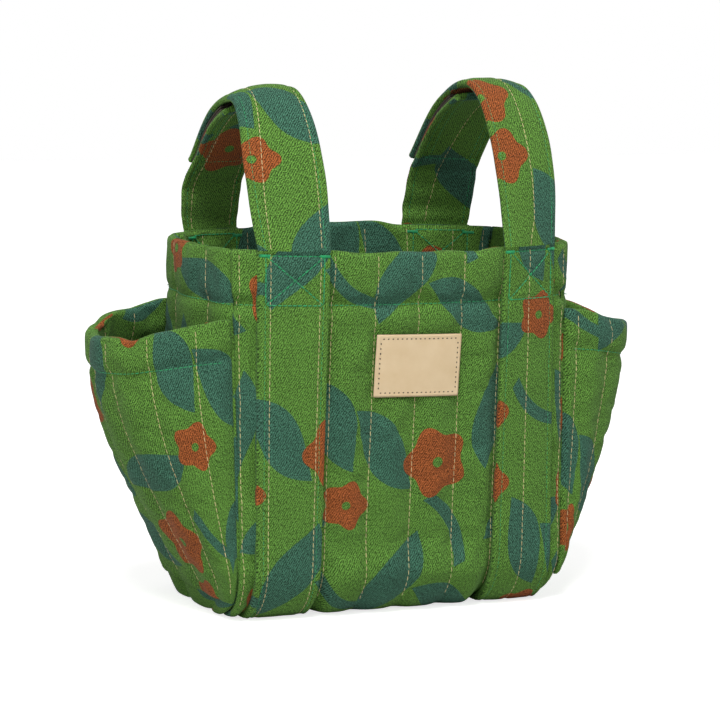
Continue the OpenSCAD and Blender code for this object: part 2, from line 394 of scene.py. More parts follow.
@dataclass(frozen=True)
class PrintedTwill:
    """Printed cotton twill: a matte cloth with steep diagonal ribs and a little fuzz.

    The ribs and yarns are drawn about twice as coarse as real ones, so that they show.

    Attributes:
        name: Material name.
        pattern: The print.
        rib: Pitch of the twill ribs across the cloth in millimetres.
        lean: Sideways lean of a rib for each millimetre up the cloth.
        rib_tone: How much a rib's crown and valley differ from the mean tone.
        yarn_tone: How much the yarns along a rib vary in tone.
        fleck_tone: How much single yarn crossings vary in tone.
        cloud_tone: How much the dye varies over a few centimetres.
        tone_range: Darkest and lightest share of the printed colour.
        wander: How far a rib strays sideways, in millimetres.
    """

    name: str = "printed_cotton_twill"
    pattern: Print = field(default_factory=Print)
    rib: float = 1.28
    lean: float = 0.6
    rib_tone: float = 0.5
    yarn_tone: float = 2.6
    fleck_tone: float = 4.4
    cloud_tone: float = 0.35
    tone_range: tuple[float, float] = (0.2, 2.2)
    wander: float = 1.6

    def build(self) -> Material:
        """Builds the material, which reads the cloth's own UV map, one unit to 100 mm."""
        material, tree, shader = start_material(self.name)
        uv = add_node(tree, "UVMap", uv_map="cloth")
        place = add_node(tree, "VectorMath", {0: uv, "Scale": 100.0}, operation="SCALE").outputs[0]
        colour = self.pattern.colour(tree, place)
        u, v = add_node(tree, "SeparateXYZ", (place,)).outputs[:2]
        across = add_node(tree, "Math", (v, -self.lean, u), operation="MULTIPLY_ADD")
        along = add_node(tree, "Math", (u, self.lean, v), operation="MULTIPLY_ADD")
        wander = add_node(tree, "TexNoise", {"Vector": place, "Scale": 0.3, "Detail": 2.0})
        phase = add_node(tree, "Math", (wander, self.wander, across), operation="MULTIPLY_ADD")
        turns = add_node(tree, "Math", (phase, 2 * math.pi / self.rib), operation="MULTIPLY")
        rib = add_node(tree, "Math", (turns,), operation="SINE")
        short = add_node(tree, "Math", (along, 0.35), operation="MULTIPLY")
        drawn = add_node(tree, "CombineXYZ", (across, short))
        yarn = add_node(tree, "TexNoise", {"Vector": drawn, "Scale": 1.45, "Detail": 1.0})
        values = {"Vector": place, "Scale": 1.5, "Detail": 1.0, "Roughness": 0.6}
        fleck = add_node(tree, "TexNoise", values)
        cloud = add_node(tree, "TexNoise", {"Vector": place, "Scale": 0.05, "Detail": 2.0})
        tone = add_node(tree, "Math", (rib, self.rib_tone, 1.0), operation="MULTIPLY_ADD")
        for noisy, strength in (
            (yarn, self.yarn_tone), (fleck, self.fleck_tone), (cloud, self.cloud_tone)
        ):
            level = add_node(tree, "Math", (noisy, 0.5), operation="SUBTRACT")
            tone = add_node(tree, "Math", (level, strength, tone), operation="MULTIPLY_ADD")
        low, high = self.tone_range
        tone = add_node(tree, "Math", (tone, low), operation="MAXIMUM")
        tone = add_node(tree, "Math", (tone, high), operation="MINIMUM")
        height = add_node(tree, "Math", (rib, 0.3, fleck), operation="MULTIPLY_ADD")
        gloss = {"Roughness": 0.86, "Specular IOR Level": 0.12}
        gloss |= {"Sheen Weight": 0.04, "Sheen Roughness": 0.6}
        finish_shader(tree, shader, colour, tone, height, (0.55, 0.12), gloss)
        return material


@dataclass(frozen=True)
class SewingThread:
    """Spun sewing thread: slightly glossy, with the twist as fine slanted ridges.

    Attributes:
        name: Material name.
        code: Thread colour.
        twist: Pitch of the twist in millimetres.
    """

    name: str
    code: str
    twist: float = 0.7

    def build(self) -> Material:
        """Builds the material on Object coordinates."""
        material, tree, shader = start_material(self.name)
        place = add_node(tree, "TexCoord").outputs["Object"]
        values = {"Vector": place, "Scale": 1 / (self.twist * MM), "Detail": 2.0}
        fibre = add_node(tree, "TexNoise", values)
        tone = add_node(tree, "Math", (fibre, 2.0), operation="MULTIPLY")
        gloss = {"Roughness": 0.55, "Sheen Weight": 0.1}
        finish_shader(tree, shader, linear(self.code)[:3], tone, fibre, (0.4, 0.1), gloss)
        return material


@dataclass(frozen=True)
class NylonTape:
    """Hook or loop tape: dull nylon, its pile or hooks as a coarse bump.

    Attributes:
        name: Material name.
        code: Tape colour.
        pile: Size of the pile's tufts in millimetres.
    """

    name: str
    code: str
    pile: float = 0.8

    def build(self) -> Material:
        """Builds the material on Object coordinates."""
        material, tree, shader = start_material(self.name)
        place = add_node(tree, "TexCoord").outputs["Object"]
        values = {"Vector": place, "Scale": 1 / (self.pile * MM)}
        tufts = add_node(tree, "TexVoronoi", values).outputs["Distance"]
        tone = add_node(tree, "Math", (tufts, 0.9, 0.5), operation="MULTIPLY_ADD")
        code = linear(self.code)[:3]
        finish_shader(tree, shader, code, tone, tufts, (0.9, 0.5), {"Roughness": 0.7})
        return material


@dataclass(frozen=True)
class PaleLeather:
    """Undyed vegetable-tanned leather: fine pebble grain, a soft satin face.

    Attributes:
        name: Material name.
        code: Leather colour.
        shade: Its darker blotches.
        edge: Colour of the plate's cut sides, the faces not turned to the front or back.
        grain: Size of the pebble grain in millimetres.
        blotch: Size of the blotches in millimetres.
    """

    name: str = "undyed_leather"
    code: str = "#E6CFAB"
    shade: str = "#D6BA90"
    edge: str = "#3B2C1C"
    grain: float = 0.55
    blotch: float = 9.0

    def build(self) -> Material:
        """Builds the material on Object coordinates."""
        material, tree, shader = start_material(self.name)
        place = add_node(tree, "TexCoord").outputs["Object"]
        values = {"Vector": place, "Scale": 1 / (self.grain * MM)}
        pebble = add_node(tree, "TexVoronoi", values).outputs["Distance"]
        values = {"Vector": place, "Scale": 1 / (self.blotch * MM), "Detail": 4.0}
        blotch = add_node(tree, "TexNoise", values)
        values = {0: blotch, 6: linear(self.shade), 7: linear(self.code)}
        colour = add_node(tree, "Mix", values, data_type="RGBA").outputs[2]
        turned = add_node(tree, "TexCoord").outputs["Normal"]
        frontal = add_node(tree, "SeparateXYZ", (turned,)).outputs[1]
        facing = add_node(tree, "Math", (frontal,), operation="ABSOLUTE")
        cut = add_node(tree, "Math", (facing, 0.4), operation="LESS_THAN")
        values = {0: cut, 6: colour, 7: linear(self.edge)}
        colour = add_node(tree, "Mix", values, data_type="RGBA").outputs[2]
        height = add_node(tree, "Math", (blotch, 0.8, pebble), operation="MULTIPLY_ADD")
        gloss = {"Roughness": 0.52, "Specular IOR Level": 0.4}
        finish_shader(tree, shader, colour, 1.0, height, (0.35, 0.12), gloss)
        return material


class Wardrobe:
    """Builds each finish once and gives it to the pieces."""

    def __init__(self) -> None:
        """Builds every material of the bag."""
        self.twill = PrintedTwill().build()
        self.cream = SewingThread("cream_thread", "#CDBB88", 2.4).build()
        self.green = SewingThread("emerald_thread", "#149257", 2.0).build()
        self.brown = SewingThread("brown_waxed_thread", "#3A2C1E").build()
        self.hook = NylonTape("nylon_hook_tape", "#4A4038").build()
        self.loop = NylonTape("nylon_loop_tape", "#544A40", pile=1.2).build()
        self.leather = PaleLeather().build()

    def dress(self, piece: Object, material: Material, slot: str) -> None:
        """Gives a piece its material."""
        piece.data.materials.clear()
        piece.data.materials.append(material)


# Meshes


def new_piece(name: str, points: Grid, faces: Sequence[Sequence[int]]) -> Object:
    """A mesh object at the origin from points in millimetres.

    Args:
        name: Name of the piece.
        points: The points, one row each, in millimetres.
        faces: Indices of each face's points.

    Returns:
        The object, shaded smooth.
    """
    mesh = bpy.data.meshes.new(name)
    mesh.from_pydata((points * MM).tolist(), [], faces)
    mesh.polygons.foreach_set("use_smooth", [True] * len(mesh.polygons))
    piece = bpy.data.objects.new(name, mesh)
    bpy.context.scene.collection.objects.link(piece)
    return piece


def select_only(piece: Object) -> None:
    """Selects one object and makes it active."""
    bpy.ops.object.select_all(action="DESELECT")
    piece.select_set(True)
    bpy.context.view_layer.objects.active = piece


def subdivide(piece: Object, levels: int = 1) -> None:
    """Applies a Subdivision Surface modifier."""
    modifier = piece.modifiers.new("round", "SUBSURF")
    modifier.levels = modifier.render_levels = levels
    select_only(piece)
    bpy.ops.object.modifier_apply(modifier=modifier.name)


@dataclass
class Shell:
    """A closed padded sheet: an outer and an inner face over the same grid.

    Attributes:
        outer: Points of the outer face, rows by columns by 3, in millimetres.
        inner: Points of the inner face.
        uv: Place of each grid point on the cloth, in millimetres.
        inner_shift: How far the inner cloth's print is from the outer's.
    """

    outer: Grid
    inner: Grid
    uv: Grid
    inner_shift: tuple[float, float] = (61.0, 37.0)

    def build(self, name: str) -> Object:
        """Builds the mesh with outward faces and the "cloth" UV map.

        Args:
            name: Name of the piece.

        Returns:
            The piece.
        """
        rows, cols = self.outer.shape[:2]
        count = rows * cols
        index = np.arange(count).reshape(rows, cols)
        quads = np.stack([index[:-1, :-1], index[1:, :-1], index[1:, 1:], index[:-1, 1:]], -1)
        quads = quads.reshape(-1, 4)
        back = quads[:, ::-1] + count
        loop = np.concatenate([index[0, :-1], index[:-1, -1], index[-1, :0:-1], index[:0:-1, 0]])
        after = np.roll(loop, -1)
        rim = np.stack([loop, after, after + count, loop + count], -1)
        points = np.concatenate([self.outer.reshape(-1, 3), self.inner.reshape(-1, 3)])
        faces = np.concatenate([quads, back, rim]).tolist()
        if self._inward():
            faces = [face[::-1] for face in faces]
        piece = new_piece(name, points, faces)
        shift = np.array(self.inner_shift)
        flat = self.uv.reshape(-1, 2)
        corners = np.concatenate([flat, flat + shift]) / 100.0
        layer = piece.data.uv_layers.new(name="cloth")
        vertex = np.zeros(len(piece.data.loops), int)
        piece.data.loops.foreach_get("vertex_index", vertex)
        values = corners[vertex]
        rim_loops = np.arange(len(vertex)) >= 4 * (len(quads) + len(back))
        crossed = rim_loops & (vertex >= count)
        values[crossed] = corners[vertex[crossed] - count] + 0.02
        layer.data.foreach_set("uv", values.ravel())
        return piece

    def _inward(self) -> bool:
        """Whether the grid's own winding points from the outer to the inner face."""
        rows, cols = self.outer.shape[:2]
        r, c = rows // 2, cols // 2
        down = self.outer[r + 1, c] - self.outer[r, c]
        across = self.outer[r, c + 1] - self.outer[r, c]
        return float(np.dot(np.cross(down, across), self.outer[r, c] - self.inner[r, c])) < 0


def mesh_points(piece: Object) -> Grid:
    """The mesh's points in millimetres."""
    flat = np.zeros(len(piece.data.vertices) * 3)
    piece.data.vertices.foreach_get("co", flat)
    return flat.reshape(-1, 3) / MM


def move_points(piece: Object, points: Grid) -> None:
    """Moves the mesh's points to places in millimetres."""
    piece.data.vertices.foreach_set("co", (points * MM).ravel())
    piece.data.update()


@dataclass(frozen=True)
class Inflation:
    """A short cloth simulation that fills a padded shell between its seams.

    Attributes:
        pressure: Air pressure inside the shell.
        frames: Frames to step.
        cap: How far a point may move, in millimetres.
        slack: Share by which the cloth is cut larger than its shell.
    """

    pressure: float = 5.0
    frames: int = 14
    cap: float = 1.5
    slack: float = 0.03

    def apply(self, piece: Object, pinned: Grid) -> None:
        """Runs the simulation and keeps its capped result in the mesh.

        Args:
            piece: A closed shell.
            pinned: Whether each point is held by a seam.
        """
        start = mesh_points(piece)
        group = piece.vertex_groups.new(name="seams")
        group.add(np.flatnonzero(pinned).tolist(), 1.0, "REPLACE")
        modifier = piece.modifiers.new("fill", "CLOTH")
        settings = modifier.settings
        settings.quality = 4
        settings.mass = 0.1
        settings.tension_stiffness = settings.compression_stiffness = 8.0
        settings.bending_stiffness = 0.05
        settings.shrink_min = settings.shrink_max = -self.slack
        settings.use_pressure = True
        settings.uniform_pressure_force = self.pressure
        settings.vertex_group_mass = group.name
        settings.effector_weights.gravity = 0.0
        modifier.point_cache.frame_start = 1
        modifier.point_cache.frame_end = self.frames
        scene = bpy.context.scene
        for frame in range(1, self.frames + 1):
            scene.frame_set(frame)
        shown = piece.evaluated_get(bpy.context.evaluated_depsgraph_get())
        moved = mesh_points(shown) - start
        far = np.linalg.norm(moved, axis=1, keepdims=True)
        LOG.info("%s: cloth moved up to %.2f mm, mean %.2f", piece.name, far.max(), far.mean())
        moved *= np.minimum(1.0, self.cap / np.maximum(far, 1e-9))
        moved[~np.isfinite(moved)] = 0.0
        piece.modifiers.remove(modifier)
        piece.vertex_groups.remove(group)
        scene.frame_set(1)
        move_points(piece, start + moved)


@dataclass(frozen=True)
class StitchKind:
    """A kind of stitch, in millimetres.

    Attributes:
        pitch: From one stitch to the next.
        length: Length of thread that shows.
        width: Width of the thread.
        slant: Sideways lean of each stitch, as a share of its length.
        lift: Height of the thread's middle above the cloth.
    """

    pitch: float
    length: float
    width: float
    slant: float = 0.06
    lift: float = 0.05


QUILT_STITCH = StitchKind(3.6, 2.9, 0.44, lift=0.0)
HEM_STITCH = StitchKind(2.75, 2.2, 0.55)
EDGE_STITCH = StitchKind(2.75, 2.1, 0.42, lift=-0.06)
BOX_STITCH = StitchKind(2.75, 2.4, 0.78)
LABEL_STITCH = StitchKind(2.75, 1.0, 0.72, lift=0.0)
TACK_STITCH = StitchKind(3.0, 1.75, 0.75, 0.0, 0.22)


@dataclass
class StitchRun:
    """A row of stitches laid on a cloth along a path.

    Attributes:
        kind: The stitch.
        path: Points of the path, in millimetres, near the cloth.
        outward: Direction off the cloth at each point.
    """

    kind: StitchKind
    path: Grid
    outward: Grid

    def places(self, ground: BVHTree) -> tuple[Grid, Grid, Grid]:
        """Places the stitches.

        Args:
            ground: The cloth to drop the stitches on.

        Returns:
            Middle, direction and outward normal of each stitch.
        """
        steps = np.linalg.norm(np.diff(self.path, axis=0), axis=1)
        run = np.concatenate([[0.0], np.cumsum(steps)])
        pitch, half = self.kind.pitch, self.kind.length / 2
        count = max(1, int(run[-1] // pitch))
        spare = (run[-1] - (count - 1) * pitch) / 2
        at = spare + np.arange(count) * pitch

        def sample(values: Grid, where: Grid) -> Grid:
            """Values at lengths along the path."""
            return np.stack([np.interp(where, run, values[:, k]) for k in range(3)], -1)

        normal = unit(sample(self.outward, at))
        head, tail = sample(self.path, at + half), sample(self.path, at - half)
        head, tail = (drop(ground, ends, normal) for ends in (head, tail))
        return (head + tail) / 2, unit(head - tail), normal


def drop(ground: BVHTree, points: Grid, outward: Grid, reach: float = 5.0) -> Grid:
    """Moves points along their normals on to a cloth.

    Args:
        ground: The cloth.
        points: The points, in millimetres.
        outward: Direction off the cloth at each point.
        reach: How far the cloth may be on either side, or else a point stays.

    Returns:
        The points on the cloth.
    """
    result = points.copy()
    for i, (p, n) in enumerate(zip(points, outward)):
        hit = ground.ray_cast(Vector((p + n * reach) * MM), Vector(-n), 2 * reach * MM)
        if hit[0] is not None:
            result[i] = np.array(hit[0]) / MM
    return result


def surface_of(piece: Object) -> BVHTree:
    """A search tree of a piece's mesh."""
    depsgraph = bpy.context.evaluated_depsgraph_get()
    return BVHTree.FromObject(piece, depsgraph)


class StitchMaker:
    """Copies one modelled stitch along every run."""

    def __init__(self) -> None:
        """Models the stitch: a short thread with rounded ends that dive into the cloth."""
        bpy.ops.object.select_all(action="DESELECT")
        bpy.ops.mesh.primitive_uv_sphere_add(segments=6, ring_count=5, radius=1.0)
        ball = bpy.context.active_object
        points = mesh_points(ball)[:, [2, 0, 1]] * MM
        points[:, 0] = np.sign(points[:, 0]) * np.abs(points[:, 0]) ** 0.55
        self.points = points
        self.faces = [tuple(p.vertices) for p in ball.data.polygons]
        bpy.data.objects.remove(ball)

    def sew(self, name: str, runs: Iterable[StitchRun], ground: BVHTree) -> Object:
        """Lays stitches along the runs as one piece.

        Args:
            name: Name of the piece.
            runs: The rows of stitches.
            ground: The cloth they lie on.

        Returns:
            The thread as one object of many small solids.
        """
        points, faces, base = [], [], 0
        for run in runs:
            for middle, along, normal in zip(*run.places(ground)):
                side = unit(np.cross(normal, along))
                up = unit(np.cross(along, side))
                lean = unit(along + run.kind.slant * side)
                scale = np.array([run.kind.length, run.kind.width, run.kind.width]) / 2
                spread = self.points * scale @ np.stack([lean, side, up])
                points.append(spread + middle + run.kind.lift * up)
                faces.extend(tuple(i + base for i in f) for f in self.faces)
                base += len(self.points)
        return new_piece(name, np.concatenate(points), faces)


# Shape of the body


@dataclass(frozen=True)
class BodyShape:
    """Outline of the sewn body in millimetres, the same as the construction's."""

    height: float = 205.0
    rim_half_w: float = 104.4
    base_half_w: float = 100.4
    rim_half_d: float = 46.0
    base_half_d: float = 61.0
    rim_bow: float = 24.7
    bow_power: float = 2.2
    cloth: float = 5.0
    hem_cloth: float = 6.5
    hem: float = 30.0
    turn_d: float = 31.0
    turn_h: float = 32.0
    turn_w: tuple[float, float] = (2.0, 8.5)
    side_bow: tuple[float, float] = (9.0, 12.5)
    column_limit: float = 90.5
    seam_lap: float = 0.8

    def half_w(self, z: Grid) -> Grid:
        """Half width at a height."""
        return mix(self.base_half_w, self.rim_half_w, z / self.height)

    def drawn_in(self, e: Grid, sign: Grid | float) -> Grid:
        """How far a side seam is drawn in under the base on the side with the sign of x."""
        left, right = self.turn_w
        return np.where(np.asarray(sign) < 0, left, right) * (1 - np.cos(e))

    def half_d(self, z: Grid) -> Grid:
        """Half depth at the side seams at a height."""
        return mix(self.base_half_d, self.rim_half_d, z / self.height)

    def depth(self, x: Grid, z: Grid) -> Grid:
        """Depth of the wall's outer face from the middle plane."""
        share = np.minimum(1.0, np.abs(x) / self.half_w(z))
        return self.half_d(z) + self.rim_bow * z / self.height * (1 - share**self.bow_power)

    @property
    def straight(self) -> float:
        """Length down the wall from the rim to the turn."""
        return self.height - self.turn_h

    @property
    def turn_length(self) -> float:
        """Length of the turn under the base, by Ramanujan's rule for an ellipse."""
        a, b = self.turn_d, self.turn_h
        return math.pi / 4 * (3 * (a + b) - math.sqrt((3 * a + b) * (a + 3 * b)))

    @property
    def wall_length(self) -> float:
        """Length down the wall from the rim to the edge of the base."""
        return self.straight + self.turn_length

    def row(self, t: Grid) -> tuple[Grid, Grid]:
        """Height and turn angle, in radians, at a length down the wall."""
        e = np.clip((t - self.straight) / self.turn_length, 0, 1) * math.pi / 2
        z = np.where(t < self.straight, self.height - t, self.turn_h * (1 - np.sin(e)))
        return z, e

    def wall(self, u: Grid, t: Grid, off: Grid, face: Face = Face.FRONT) -> Grid:
        """Points of the front or back wall.

        Args:
            u: Place across the cloth, from minus to plus the rim's half width.
            t: Length down the wall.
            off: Offset outwards.
            face: Front or back.

        Returns:
            The points, with x, y, z last.
        """
        z, e = self.row(t)
        reach = np.abs(u)
        past = np.clip((reach - self.column_limit) / (self.rim_half_w - self.column_limit), 0, 1)
        seam = self.half_w(z) - self.drawn_in(e, u)
        x = np.minimum(reach, self.column_limit) + past * (seam - self.column_limit)
        y = self.depth(x, z) - (self.turn_d + off) * (1 - np.cos(e)) + off
        drawn = x + np.minimum(off, 0) * smooth((reach - 92) / 12.4)
        high = np.where(e > 0, self.turn_h - (self.turn_h + off) * np.sin(e), z)
        return np.stack([np.sign(u) * drawn, face.value * y, high], -1)

    def side_wall(self, k: Grid, t: Grid, off: Grid, side: Side) -> Grid:
        """Points of a side panel.

        Args:
            k: Place across, from -1 at the front seam to 1 at the back seam.
            t: Length down the wall.
            off: Offset outwards.
            side: Left or right.

        Returns:
            The points, with x, y, z last.
        """
        z, e = self.row(t)
        edge = self.half_d(z) - self.turn_d * (1 - np.cos(e))
        fullest = self.side_bow[0] if side is Side.LEFT else self.side_bow[1]
        bow = fullest * mix(0.3, 1.0, smooth(z / self.height)) * np.cos(k * math.pi / 2)
        bow *= 1 - smooth(2 * e / math.pi)
        x = self.half_w(z) - self.drawn_in(e, side.value) + bow + off
        y = k * (edge + (self.seam_lap + np.minimum(off, 0)) * smooth((np.abs(k) - 0.8) / 0.2))
        high = np.where(e > 0, self.turn_h - (self.turn_h + off) * np.sin(e), z)
        return np.stack([side.value * x, y, high], -1)


@dataclass(frozen=True)
class Quilting:
    """How a padded cloth is drawn in at its sewn lines.

    Attributes:
        groove: Depth of a sewn line below the crown of its channels.
        seam_dip: Extra depth at an edge seam.
        pucker: Height of the small ripples beside a sewn line.
    """

    groove: float = 2.1
    seam_dip: float = 0.5
    pucker: float = 0.45

    def channels(self, x: Grid, lines: Sequence[float], power: float = 2.2) -> Grid:
        """Share of the crown's height, from 0 on a sewn line to 1 between two lines."""
        edges = np.array(sorted(lines))
        which = np.clip(np.searchsorted(edges, x, side="right") - 1, 0, len(edges) - 2)
        share = (x - edges[which]) / (edges[which + 1] - edges[which])
        return 1 - np.abs(2 * np.clip(share, 0, 1) - 1) ** power


# The body's padded cloths


@dataclass
class QuiltedWall:
    """The front or back wall with the turn under the base, quilted in upright channels.

    Attributes:
        face: Front or back.
        shape: The body's outline.
        quilting: How deep the sewn lines are.
        lines: Places of the sewn lines across the cloth.
        outer_lines: Sewn lines between the bands and the seams.
        step_u: Grid spacing across.
        step_t: Grid spacing down.
        seed: Number that tells this wall's creases from another's.
        band_edges: Places of a band's two edges, where it pulls the cloth in.
        band_sink: How deep it pulls it in there.
        fullest: How far the cloth may stand out.
        sag: How far the cloth bellies out low down, between the bands.
        corner_sag: The same at the left corner.
        hem_valley: Depth of the hem's sewn line.
    """

    face: Face
    shape: BodyShape = field(default_factory=BodyShape)
    quilting: Quilting = field(default_factory=Quilting)
    lines: tuple[float, ...] = (-79.4, -49.8, -25.4, 0.5, 27.3, 53.0, 79.0)
    outer_lines: tuple[float, ...] = (-99.4, 99.4)
    step_u: float = 2.6
    step_t: float = 3.2
    seed: float = 1.0
    label_half_w: float = 26.0
    label_half_h: float = 17.5
    label_t: float = 64.0
    label_sink: float = 2.3
    band_edges: tuple[float, float] = (52.3, 91.2)
    band_sink: float = 1.3
    fullest: float = 1.3
    sag: float = 4.2
    corner_sag: float = 1.6
    hem_valley: float = 3.5

    def edges(self) -> tuple[float, ...]:
        """Sewn lines with the two seams."""
        w = self.shape.rim_half_w
        return (-w, *self.lines, w)

    def grid(self) -> tuple[Grid, Grid]:
        """Places across and lengths down the wall."""
        shape = self.shape
        marks = sorted((*self.edges(), *self.outer_lines))
        u = stations(marks, self.step_u)
        breaks = [0.0, 0.8, 1.9, 3.6, shape.hem - 3, shape.hem, shape.hem + 2.4]
        t = stations([*breaks, shape.straight, shape.wall_length], self.step_t)
        return u, t

    def relief(self, u: Grid, t: Grid) -> Grid:
        """Drop of the outer face below its construction face, in millimetres.

        Args:
            u: Place across.
            t: Length down the wall.

        Returns:
            The drop at each point, positive inwards.
        """
        q, shape = self.quilting, self.shape
        crown = q.channels(u, self.edges())
        below_hem = smooth((t - shape.hem) / 3)
        drop_by = q.groove * (1 - crown) * mix(0.45, 1.0, below_hem)
        drop_by += self.hem_drop(t)
        side = shape.rim_half_w - np.abs(u)
        drop_by += q.seam_dip * (1 - smooth(side / 4))
        for edge in self.band_edges:
            drop_by += self.band_sink * bump_at(np.abs(u), edge, 1.8)
        near_line = np.exp(-np.abs(u[..., None] - np.array(self.lines)).min(-1) / 4.5)
        gathers = ripple(u / 7.0, t / 5.5, self.seed) * near_line
        near_hem = np.exp(-np.abs(t - shape.hem) / 5.0)
        gathers += 1.2 * ripple(u / 6.0, t / 9.0, self.seed + 5) * near_hem
        loose = ripple(u / 26.0, t / 42.0, self.seed + 7)
        drop_by += q.pucker * gathers + 0.6 * loose
        beneath = smooth((np.abs(u) - 53.2) / 2) * smooth((90.2 - np.abs(u)) / 2)
        drop_by = mix(drop_by, self.band_sink, beneath)
        if self.face is Face.FRONT:
            under = smooth((self.label_half_w + 2.6 - np.abs(u)) / 2.6)
            under *= smooth((self.label_half_h + 2.6 - np.abs(t - self.label_t)) / 2.6)
            drop_by = mix(drop_by, self.label_sink, under)
        return np.maximum(drop_by - 0.45, -self.fullest) - self.belly(u, t)

    def hem_drop(self, t: Grid) -> Grid:
        """The hem's puffed fold, which rolls in to its sewn line."""
        shape = self.shape
        rise = np.where(t < shape.hem, (shape.hem - t) / 4.6, (t - shape.hem) / 2.4)
        puff = 0.9 * smooth(t / 5) * (1 - smooth((t - shape.hem + 6) / 6))
        return self.hem_valley * np.exp(-(rise**2)) - puff - 0.8 * bump_at(t, shape.hem + 8, 5.0)

    def belly(self, u: Grid, t: Grid) -> Grid:
        """How far the cloth sags out low down, between the bands and at the corners."""
        sag = smooth((t - self.shape.straight + 12) / 24)
        between = 1 - smooth((np.abs(u) - 43) / 8)
        corner = smooth((-u - 91) / 6)
        return sag * (self.sag * between + self.corner_sag * corner)

    def rim_wave(self, u: Grid) -> Grid:
        """How far the rim leans out, in millimetres, along the wall."""
        wave = ripple(u / 30.0, np.zeros_like(u), self.seed + 3)
        return 2.1 * wave * smooth((self.shape.rim_half_w - np.abs(u)) / 15)

    def rim_rise(self, u: Grid) -> Grid:
        """How far the rim stands above its level between the straps, in millimetres."""
        middle = 1 - smooth((np.abs(u) - 34) / 16)
        level = -1.3 if self.face is Face.FRONT else 2.2
        return middle * (level + 0.9 * ripple(u / 24.0, np.zeros_like(u), self.seed + 9))

    def build(self, name: str) -> tuple[Object, Grid]:
        """Builds the wall.

        Args:
            name: Name of the piece.

        Returns:
            The piece and which of its points are sewn down.
        """
        shape = self.shape
        u, t = self.grid()
        tt, uu = np.meshgrid(t, u, indexing="ij")
        lean = self.rim_wave(uu) * smooth(1 - tt / 26)
        sink = self.relief(uu, tt)
        thick = mix(shape.cloth, shape.hem_cloth, 1 - smooth((tt - shape.hem + 2) / 4))
        outer = shape.wall(uu, tt, -sink - rolled(tt, 3.0) + lean, self.face)
        inner_sink = self.relief(uu + 3.0, tt) * 0.7 * (1 - smooth((tt - shape.straight + 14) / 8))
        inner = shape.wall(uu, tt, -thick + inner_sink + rolled(tt, 2.7) + lean, self.face)
        rise = self.rim_rise(uu) * smooth(1 - tt / 34)
        outer[..., 2] = np.maximum(outer[..., 2] + rise, 0.0)
        inner[..., 2] = np.maximum(inner[..., 2] + rise, 2.0)
        uv = np.stack([uu, -tt], -1) + np.array([31.0 * self.seed, 47.0 * self.seed])
        piece = Shell(outer, inner, uv).build(name)
        sewn = near(uu, self.lines) & (tt >= shape.hem - 0.1)
        sewn |= np.abs(tt - shape.hem) < 0.1
        sewn |= (tt < 0.1) | (np.abs(uu) > shape.rim_half_w - 0.1)
        sewn |= tt > shape.straight + 12
        return piece, np.tile(sewn.ravel(), 2)


@dataclass
class QuiltedSide:
    """A side panel between the two walls."""

    side: Side
    shape: BodyShape = field(default_factory=BodyShape)
    quilting: Quilting = field(default_factory=Quilting)
    lines: tuple[float, ...] = (-0.53, 0.37)

    def relief(self, k: Grid, t: Grid) -> Grid:
        """Drop of the outer face.

        Args:
            k: Place across, from -1 to 1.
            t: Length down the wall.

        Returns:
            The drop in millimetres, positive inwards.
        """
        crown = self.quilting.channels(k, (-1.0, *self.lines, 1.0))
        drop_by = self.quilting.groove * (1 - crown) + 1.6 * bump_at(t, self.shape.hem, 2.4)
        drop_by += 0.3 * (1 - smooth((1 - np.abs(k)) / 0.1))
        if self.side is Side.LEFT:
            drop_by -= 2.0 * smooth((t - self.shape.straight + 10) / 24) * (1 - k**4)
        return drop_by + 0.35 * ripple(k * 5, t / 9.0, 20.0 + self.side.value)

    def build(self, name: str) -> tuple[Object, Grid]:
        """Builds the panel.

        Args:
            name: Name of the piece.

        Returns:
            The piece, and which of its points are sewn down.
        """
        shape = self.shape
        k = stations([-1.0, *self.lines, 1.0], 0.065)
        t = stations([0.0, 0.8, 1.9, 3.6, shape.hem, shape.straight, shape.wall_length], 3.4)
        tt, kk = np.meshgrid(t, k, indexing="ij")
        sink = self.relief(kk, tt)
        wave = 1.2 * ripple(kk * 1.6, tt * 0, 31.0 + self.side.value) * smooth(1 - tt / 26)
        wave *= (1 - kk**4)
        outer = shape.side_wall(kk, tt, -sink - rolled(tt, 2.7) + wave, self.side)
        thick = mix(shape.cloth, shape.hem_cloth - 0.5, 1 - smooth((tt - shape.hem + 2) / 4))
        off = -thick + 0.7 * np.maximum(sink, 0) + rolled(tt, 2.4) + wave
        inner = shape.side_wall(kk, tt, off, self.side)
        inner[..., 2] = np.maximum(inner[..., 2], 2.0)
        outer[..., 2] = np.maximum(outer[..., 2], 0.2)
        uv = np.stack([kk * 50 + 17 * self.side.value, -tt + 83.0], -1)
        piece = Shell(outer, inner, uv).build(name)
        sewn = near(kk, self.lines, 0.001) & (tt >= shape.hem - 0.1)
        sewn |= (np.abs(tt - shape.hem) < 0.1) | (tt < 0.1) | (np.abs(kk) > 0.999)
        sewn |= tt > shape.straight + 12
        return piece, np.tile(sewn.ravel(), 2)


